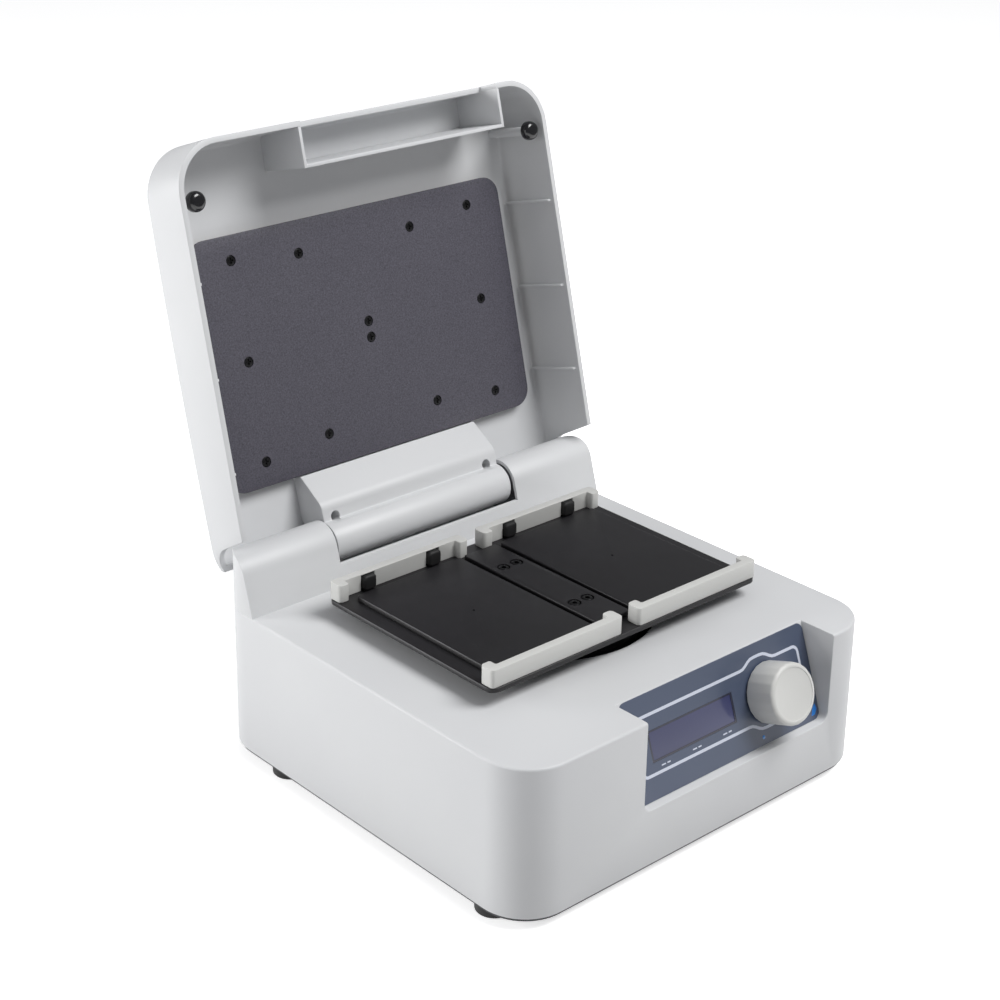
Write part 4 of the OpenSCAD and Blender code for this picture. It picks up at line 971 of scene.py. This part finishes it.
@dataclass
class Lid:
    """The lid with its heater plate, ribs, notch, bumpers and hinge block, modelled shut."""

    deck: Deck
    recess: Recess
    half: float = 144.0
    corner: float = 30.0
    gap: float = 0.6
    height: float = 47.0
    depth: float = 276.0
    lean: float = 4.0
    edge: float = 6.0
    crown: float = 3.0
    wall: float = 3.5
    back: float = 260.3
    clearance: float = 1.2
    notch: float = 16.0
    web: float = 2.2
    plate_middle: float = 139.2
    plate_size: tuple[float, float] = (246.8, 156.0)
    plate_z: float = 35.2
    plate_t: float = 3.0
    bumper: tuple[float, float] = (131.6, 34.8)
    barrel_radius: float = 13.2
    block_half: float = 72.0
    block_face: float = 17.5
    block_bend: float = 23.3
    block_rear: float = 246.0
    bend_radius: float = 9.0
    pin_bore: float = 4.05
    block_screw: tuple[float, float] = (62.7, 15.0)

    def drop(self, y: float) -> float:
        """Gives how much lower the lid's crowned top is at a place along its depth."""
        return self.crown * ((y - self.back / 2) / (self.back / 2)) ** 2

    def ceiling(self, y: float) -> float:
        """Gives the height of the lid's inner face."""
        return self.gap + self.height - self.wall - self.drop(y)

    @property
    def screws(self) -> list[tuple[float, float]]:
        """The places of the heater plate's screws."""
        w, d = self.plate_size[0] / 2, self.plate_size[1] / 2
        outer = [(i * (w - 28.8), j * (d - 15.2)) for i in (-1, 1) for j in (-1, 0, 1)]
        inner = [(i * (w - 78.7), j * (d - 20.4)) for i in (-1, 1) for j in (-1, 1)]
        return [(x, y + self.plate_middle) for x, y in outer + inner + [(0, -5.2), (0, 5.2)]]

    def build(self) -> None:
        """Builds the lid's pieces."""
        self._put(self._shell(), CASE_ABS, ["lid_shell"])
        self._plate()
        self._bumpers()
        self._hinge_block()
        dress(["lid_heater_mat"], HEATER_SILICONE)
        dress(["lid_foam"], LID_FOAM)
        dress(["lid_block_screws"], BLACK_OXIDE)

    def _put(self, obj: bpy.types.Object, finish: Finish, hides: Sequence[str] = ()) -> None:
        """Swings a piece open with the lid and finishes it."""
        settle(self.deck.swing(obj), "lid", finish, hides)

    def _shell(self) -> bpy.types.Object:
        """Models the moulded lid: a leaning, crowned box, hollowed, cut for the hood and notched."""
        rear = math.degrees(math.asin((self.back - (self.depth - self.corner)) / self.corner))
        x = self.half - self.corner
        outline = (arc(-x, self.corner, self.corner, 180, 270, 12)
                   + arc(x, self.corner, self.corner, 270, 360, 12)
                   + arc(x, self.depth - self.corner, self.corner, 0, rear, 4)
                   + arc(-x, self.depth - self.corner, self.corner, 180 - rear, 180, 4))
        obj = plate("lid_moulding", outline, self.gap, self.gap + self.height)
        self._lean_in(obj)
        self._crown_top(obj)
        drop_face(obj, lambda centre, normal: normal.z < -0.9)
        modifier = obj.modifiers.new("wall", "SOLIDIFY")
        modifier.thickness = self.wall * MM
        modifier.offset = -1.0
        modifier.use_even_offset = True
        apply_all(obj)
        combine(obj, [self._hood_tool(), self._notch_tool()])
        soften(obj, 0.5, 2, 50)
        return join([obj] + self._webs() + self._posts(), "lid_moulding")

    def _lean_in(self, obj: bpy.types.Object) -> None:
        """Draws the top in towards the rear edge and rounds it."""
        top = (self.gap + self.height) * MM - NEAR
        choose_edges(obj, lambda a, b: a.z > top and b.z > top)
        share = ((self.half - self.lean) / self.half, (self.back - self.lean) / self.back, 1.0)
        bpy.ops.transform.resize(value=share, center_override=mm(0, self.back, 0))
        bpy.ops.mesh.bevel(offset=self.edge * MM, segments=6, profile=0.5, clamp_overlap=True)
        bpy.ops.object.mode_set(mode="OBJECT")

    def _crown_top(self, obj: bpy.types.Object) -> None:
        """Cuts the box across and lowers its ends a little."""
        activate(obj)
        for y in range(20, 250, 19):
            bpy.ops.object.mode_set(mode="EDIT")
            bpy.ops.mesh.select_all(action="SELECT")
            bpy.ops.mesh.bisect(plane_co=mm(0, y, 0), plane_no=(0, 1, 0))
            bpy.ops.object.mode_set(mode="OBJECT")
        for vertex in obj.data.vertices:
            share = (vertex.co.z / MM - self.gap) / self.height
            vertex.co.z -= self.drop(vertex.co.y / MM) * share * MM

    def _hood_tool(self) -> bpy.types.Object:
        """Makes the block that clears the hinge cover as the lid swings."""
        z, low, far = self.deck.hinge_z, -1.0, 400.0
        start, foot = COVER_FORM.flank(self.deck, False, self.clearance, low)
        top = arc(self.deck.hinge_y, z, COVER_FORM.radius + self.clearance, start, 0, 24)
        outline = [(foot, low)] + top + [(far, z), (far, low)]
        return profile("hood_tool", outline, -200, 200)

    def _notch_tool(self) -> bpy.types.Object:
        """Makes the block that opens the front wall for fingers."""
        return block("notch_tool", (self.recess.left - 0.2, -5, -3),
                     (self.recess.right + 0.2, self.wall + 2 * self.lean, self.gap + self.notch))

    def _webs(self) -> list[bpy.types.Object]:
        """Models the finger pocket's walls and the side ribs."""
        left, right = self.recess.left - 0.25, self.recess.right + 0.25
        back = self.recess.depth + 1.0
        high = self.ceiling(10) + 1
        rear = back + self.web
        side = [(1.6, self.gap), (rear, self.gap), (rear, high), (self.lean + 2.6, high)]
        webs = [profile("web", side, left - self.web, left), profile("web", side, right, right + self.web),
                block("web", (left - 0.5, back, self.gap), (right + 0.5, rear, high))]
        x0, low, top = self.half - self.wall, self.gap + 2.5, self.ceiling(0)
        for hand in (-1, 1):
            for step in (-57.0, 0.0, 57.0):
                rib = [(x0 - 3, low + 1), (x0 - 2.2, low), (x0 + 1, low), (x0 - self.lean + 1, top),
                       (x0 - self.lean - 3, top)]
                y = self.plate_middle + step - self.web / 2 + 0.3
                outline = [mm(hand * rx, y, rz) for rx, rz in rib]
                webs.append(extruded("web", outline, mm(0, self.web - 0.6, 0)))
        for web in webs:
            soften(web, 0.3, 2)
        return webs

    def _posts(self) -> list[bpy.types.Object]:
        """Models the screw bosses and the bumpers' posts."""
        posts = []
        for x, y in self.screws:
            posts.append(disc("post", x, y, self.plate_z + self.plate_t, self.ceiling(y) + 1, 3.8, 24))
        for hand in (-1, 1):
            x, y = hand * self.bumper[0], self.bumper[1]
            posts.append(disc("post", x, y, 5.5, self.ceiling(y) + 1, 3.0, 32))
        return posts

    def _plate(self) -> None:
        """Models the heater plate with its countersunk cross-head screws."""
        w, d, y = self.plate_size[0] / 2, self.plate_size[1] / 2, self.plate_middle
        outline = rounded(-w, w, y - d, y + d, 12.0)
        obj = plate("heater_plate_face", outline, self.plate_z, self.plate_z + self.plate_t)
        soften(obj, 0.5, 3)
        combine(obj, [disc("sink_tool", sx, sy, self.plate_z - 1, self.plate_z + 1.6, 3.45, 32)
                      for sx, sy in self.screws])
        self._put(obj, HEATER_COAT, ["lid_heater_plate"])
        head = disc("plate_screw_heads", 0, 0, self.plate_z + 0.25, self.plate_z + 1.7, 3.1, 32)
        low = (self.plate_z + 0.3) * MM
        round_edges(head, 0.4, 3, lambda a, b: max(a.z, b.z) < low)
        combine(head, [block("slot_tool", (-1.9, -0.45, self.plate_z - 1), (1.9, 0.45, self.plate_z + 1.1)),
                       block("slot_tool", (-0.45, -1.9, self.plate_z - 1), (0.45, 1.9, self.plate_z + 1.1))])
        self._put(copies(head, [mm(sx, sy, 0) for sx, sy in self.screws], "plate_screw_heads"), BLACK_OXIDE,
                  ["lid_plate_screws"])

    def _hinge_block(self) -> None:
        """Models the block that joins the lid to its barrel, with a soft bend and two deep screw holes."""
        y, z, radius = self.deck.hinge_y, self.deck.hinge_z, self.bend_radius
        top_y = self.plate_middle + self.plate_size[1] / 2 + 0.6
        face_z, bend = self.gap + self.block_face, y - self.block_bend
        start = 180 + math.degrees(math.asin((z - face_z) / self.barrel_radius))
        slope = math.atan2(self.plate_z - face_z, bend - top_y)
        bend_y, bend_z = bend + radius * math.tan(slope / 2), face_z + radius
        soft_bend = [(bend_y - radius * math.sin(slope * t / 8), bend_z - radius * math.cos(slope * t / 8))
                     for t in range(8, -1, -1)]
        outline = ([(top_y, self.ceiling(top_y) + 0.4), (top_y, self.plate_z)] + soft_bend
                   + arc(y, z, self.barrel_radius, start, 450, 56)
                   + [(self.block_rear, self.ceiling(self.block_rear) + 0.4)])
        obj = profile("hinge_block_barrel", outline, -self.block_half, self.block_half)
        soften(obj, 0.6, 3, 50)
        bore = profile("bore_tool", arc(y, z, self.pin_bore, 0, 345, 23), -80, 80)
        screw_x, screw_y = self.block_screw
        holes = [disc("hole_tool", s * screw_x, y - screw_y, 0, 32.0, 3.4, 40) for s in (-1, 1)]
        combine(obj, [bore] + holes)
        self._put(obj, CASE_ABS, ["lid_hinge_block"])

    def _bumpers(self) -> None:
        """Models the two rubber bumpers on their posts."""
        for name, hand in (("left", -1), ("right", 1)):
            obj = disc("bumper_dome_" + name, 0, 0, 0.4, 6.6, 6.2, 48)
            tip = 0.5 * MM
            round_edges(obj, 3.6, 8, lambda a, b: max(a.z, b.z) < tip)
            top = 6.5 * MM
            round_edges(obj, 0.8, 3, lambda a, b: min(a.z, b.z) > top)
            obj.data.transform(Matrix.Translation(mm(hand * self.bumper[0], self.bumper[1], 0)))
            self._put(obj, GLOSS_RUBBER, ["lid_bumper_" + name])


@dataclass
class HingeCover:
    """The fixed cover of the hinge with its brackets and pin."""

    deck: Deck
    case: Case
    wall: float = 2.4
    gap: float = 74.0
    sill: float = 13.0

    def _section(self, name: str, grow: float, low: float) -> bpy.types.Object:
        """Models the cover's full-width form.

        Args:
            name: Name of the piece.
            grow: How far the form is grown, in millimetres.
            low: Height of its underside.

        Returns:
            The form, cut to the housing's outline.
        """
        start, front_foot = COVER_FORM.flank(self.deck, False, grow, low)
        end, rear_foot = COVER_FORM.flank(self.deck, True, grow, low)
        top = arc(self.deck.hinge_y, self.deck.hinge_z, COVER_FORM.radius + grow, start, end, 44)
        obj = profile(name, [(front_foot, low)] + top + [(rear_foot, low)], -self.case.width, self.case.width)
        half, near, far = self.case.width / 2 + grow, -grow, self.case.depth + grow
        bounds = rounded(-half, half, near, far, self.case.corner + grow, 16)
        combine(obj, [plate("bounds_tool", bounds, low - 1, 60)], "INTERSECT")
        return obj

    def build(self) -> None:
        """Builds the cover and dresses what it hides."""
        obj = self._section("hinge_cover_shell", 0.0, 0.0)
        combine(obj, [self._section("inner_tool", -self.wall, -1.0),
                      block("gap_tool", (-self.gap, 0, self.sill), (self.gap, 400, 80))])
        soften(obj, 0.6, 3, 35)
        settle(self.deck.put(obj), "body", CASE_ABS, ["hinge_hood"])
        dress(["hinge_bracket_left", "hinge_bracket_right", "hinge_screws", "hinge_pin"], TURNED_STEEL)


@dataclass
class Inside:
    """The drive and the electronics, which keep their solids."""

    steel: tuple[str, ...] = ("drive_screws", "shaft_bearing", "crank", "counterweight", "idler_crank_right",
                              "idler_crank_front", "idler_crank_rear", "board_fixings", "power_supply")
    aluminium: tuple[str, ...] = ("drive_plate", "drive_standoffs", "bearing_housing")

    def build(self) -> None:
        """Dresses the inner pieces and softens the rear wall's fittings."""
        dress(self.steel, TURNED_STEEL)
        dress(self.aluminium, MILLED_ALUMINIUM)
        dress(["drive_motor"], MOTOR_PAINT)
        dress(["idler_bushes"], BUSH_BRONZE)
        dress(["main_board"], SOLDER_MASK)
        settle(refined("power_inlet", 0.4), "body", BLACK_NYLON, ["power_inlet"])
        settle(refined("switch_frame", 0.4), "body", BLACK_NYLON, ["switch_frame"])
        settle(refined("power_rocker", 0.4), "rocker", ROCKER_NYLON, ["power_rocker"])


@dataclass
class Studio:
    """The floor, the light and the camera, whose place was fitted to the photograph."""

    deck: Deck
    eye: tuple[float, float, float] = (-782.8, -672.8, 575.3)
    yaw: float = 0.720
    pitch: float = 0.370
    roll: float = 0.008
    focal_px: float = 2083.5
    centre_px: tuple[float, float] = (455.6, 391.1)
    frame_px: float = 1000.0
    sensor: float = 36.0
    lamps: tuple[tuple[str, tuple[float, float, float], float, float], ...] = (
        ("left_box", (-1.76, 1.32, 0.45), 1.2, 36.0),
        ("front_box", (0.6, -0.95, 1.75), 1.1, 34.0),
        ("side_box", (-1.9, -0.1, 0.55), 0.8, 4.0))

    def build(self) -> None:
        """Builds the floor, the lamps, the world and the camera."""
        self._floor()
        self._world()
        self._camera()
        for name, place, size, power in self.lamps:
            self._lamp(name, place, size, power)
        bpy.context.scene.view_settings.view_transform = "Standard"

    def _seen_white(self, tree: bpy.types.NodeTree, white: bpy.types.NodeSocket,
                    real: bpy.types.NodeSocket) -> bpy.types.NodeSocket:
        """Shows one shader to the camera and to mirrors, and another to everything else."""
        path = add_node(tree, "ShaderNodeLightPath")
        seen = add_node(tree, "ShaderNodeMath", {
            0: path.outputs["Is Camera Ray"], 1: path.outputs["Is Glossy Ray"]}, operation="MAXIMUM")
        both = add_node(tree, "ShaderNodeMath", {
            0: seen.outputs["Value"], 1: path.outputs["Is Transmission Ray"]}, operation="MAXIMUM")
        return add_node(tree, "ShaderNodeMixShader", {
            0: both.outputs["Value"], 1: real, 2: white}).outputs["Shader"]

    def _floor(self) -> None:
        """Lays a floor that the camera sees white with a faint shadow, and that sends back less light."""
        bpy.ops.object.select_all(action="DESELECT")
        bpy.ops.mesh.primitive_plane_add(size=8.0, location=(0, 0, 0))
        floor = bpy.context.object
        floor.name = "floor"
        material = bpy.data.materials.new("white_paper_floor")
        material.use_nodes = True
        tree = material.node_tree
        tree.nodes.clear()
        place = add_node(tree, "ShaderNodeTexCoord").outputs["Object"]
        tooth = add_node(tree, "ShaderNodeTexNoise", {"Vector": place, "Scale": 400.0})
        bump = add_node(tree, "ShaderNodeBump", {"Height": tooth.outputs["Fac"], "Distance": 0.00002})
        relief = bump.outputs["Normal"]
        paper = add_node(tree, "ShaderNodeBsdfDiffuse", {"Color": srgb("#FFFFFF"), "Normal": relief})
        bounce = add_node(tree, "ShaderNodeBsdfDiffuse", {"Color": srgb("#BCBCBC"), "Normal": relief})
        white = add_node(tree, "ShaderNodeEmission", {"Color": (1.0, 1.0, 1.0, 1.0), "Strength": 0.62})
        lit = add_node(tree, "ShaderNodeAddShader", {0: paper.outputs["BSDF"], 1: white.outputs["Emission"]})
        add_node(tree, "ShaderNodeOutputMaterial", {
            "Surface": self._seen_white(tree, lit.outputs["Shader"], bounce.outputs["BSDF"])})
        floor.data.materials.append(material)
        floor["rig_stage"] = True

    def _world(self) -> None:
        """Sets a soft sky that the camera sees as white."""
        world = bpy.data.worlds.new("studio")
        bpy.context.scene.world = world
        world.use_nodes = True
        tree = world.node_tree
        tree.nodes.clear()
        sky = add_node(tree, "ShaderNodeBackground", {"Color": srgb("#F6F7FA"), "Strength": 0.25})
        white = add_node(tree, "ShaderNodeBackground", {"Color": (1.0, 1.0, 1.0, 1.0), "Strength": 1.0})
        path = add_node(tree, "ShaderNodeLightPath")
        mixed = add_node(tree, "ShaderNodeMixShader", {
            0: path.outputs["Is Camera Ray"], 1: sky.outputs["Background"], 2: white.outputs["Background"]})
        add_node(tree, "ShaderNodeOutputWorld", {"Surface": mixed.outputs["Shader"]})

    def _lamp(self, name: str, place: tuple[float, float, float], size: float, power: float) -> None:
        """Hangs one soft box and aims it at the deck."""
        data = bpy.data.lights.new(name, "AREA")
        data.shape = "DISK"
        data.size = size
        data.energy = power
        lamp = bpy.data.objects.new(name, data)
        lamp.location = place
        aim = Vector((0, 0, self.deck.level)) - Vector(place)
        lamp.rotation_euler = aim.to_track_quat("-Z", "Y").to_euler()
        bpy.context.scene.collection.objects.link(lamp)

    def _camera(self) -> None:
        """Sets the camera at the photograph's place, angle and lens."""
        ahead = Vector((math.sin(self.yaw) * math.cos(self.pitch), math.cos(self.yaw) * math.cos(self.pitch),
                        -math.sin(self.pitch)))
        right = Vector((math.cos(self.yaw), -math.sin(self.yaw), 0))
        up = right.cross(ahead)
        level, lift = math.cos(self.roll), math.sin(self.roll)
        turned_right, turned_up = right * level + up * lift, up * level - right * lift
        data = bpy.data.cameras.new("photo_camera")
        data.sensor_width = self.sensor
        data.lens = self.focal_px * self.sensor / self.frame_px
        data.shift_x = (self.frame_px / 2 - self.centre_px[0]) / self.frame_px
        data.shift_y = (self.centre_px[1] - self.frame_px / 2) / self.frame_px
        data.clip_start = 0.05
        camera = bpy.data.objects.new("photo_camera", data)
        turn = Matrix((turned_right, turned_up, -ahead)).transposed().to_4x4()
        eye = mm(*self.eye) + Vector((0, self.deck.front, self.deck.level))
        camera.matrix_world = Matrix.Translation(eye) @ turn
        bpy.context.scene.collection.objects.link(camera)
        bpy.context.scene.camera = camera


def corners(box: object) -> list[list[float]]:
    """Turns a box into plain lists of numbers."""
    return [[float(value) for value in corner] for corner in box]


def main() -> None:
    """Builds the scene piece by piece."""
    logging.basicConfig(level=logging.INFO, format="%(name)s: %(message)s")
    bpy.ops.object.select_all(action="DESELECT")
    before = corners(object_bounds())
    deck = Deck.from_frame()
    recess = Recess()
    Studio(deck).build()
    case = Case(deck, recess)
    case.build()
    HingeCover(deck, case).build()
    ControlPanel(deck, recess).build()
    Tray.from_frame(deck).build()
    Lid(deck, recess).build()
    Inside().build()
    {"before": before, "after": corners(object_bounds())}


if __name__ == "__main__":
    main()
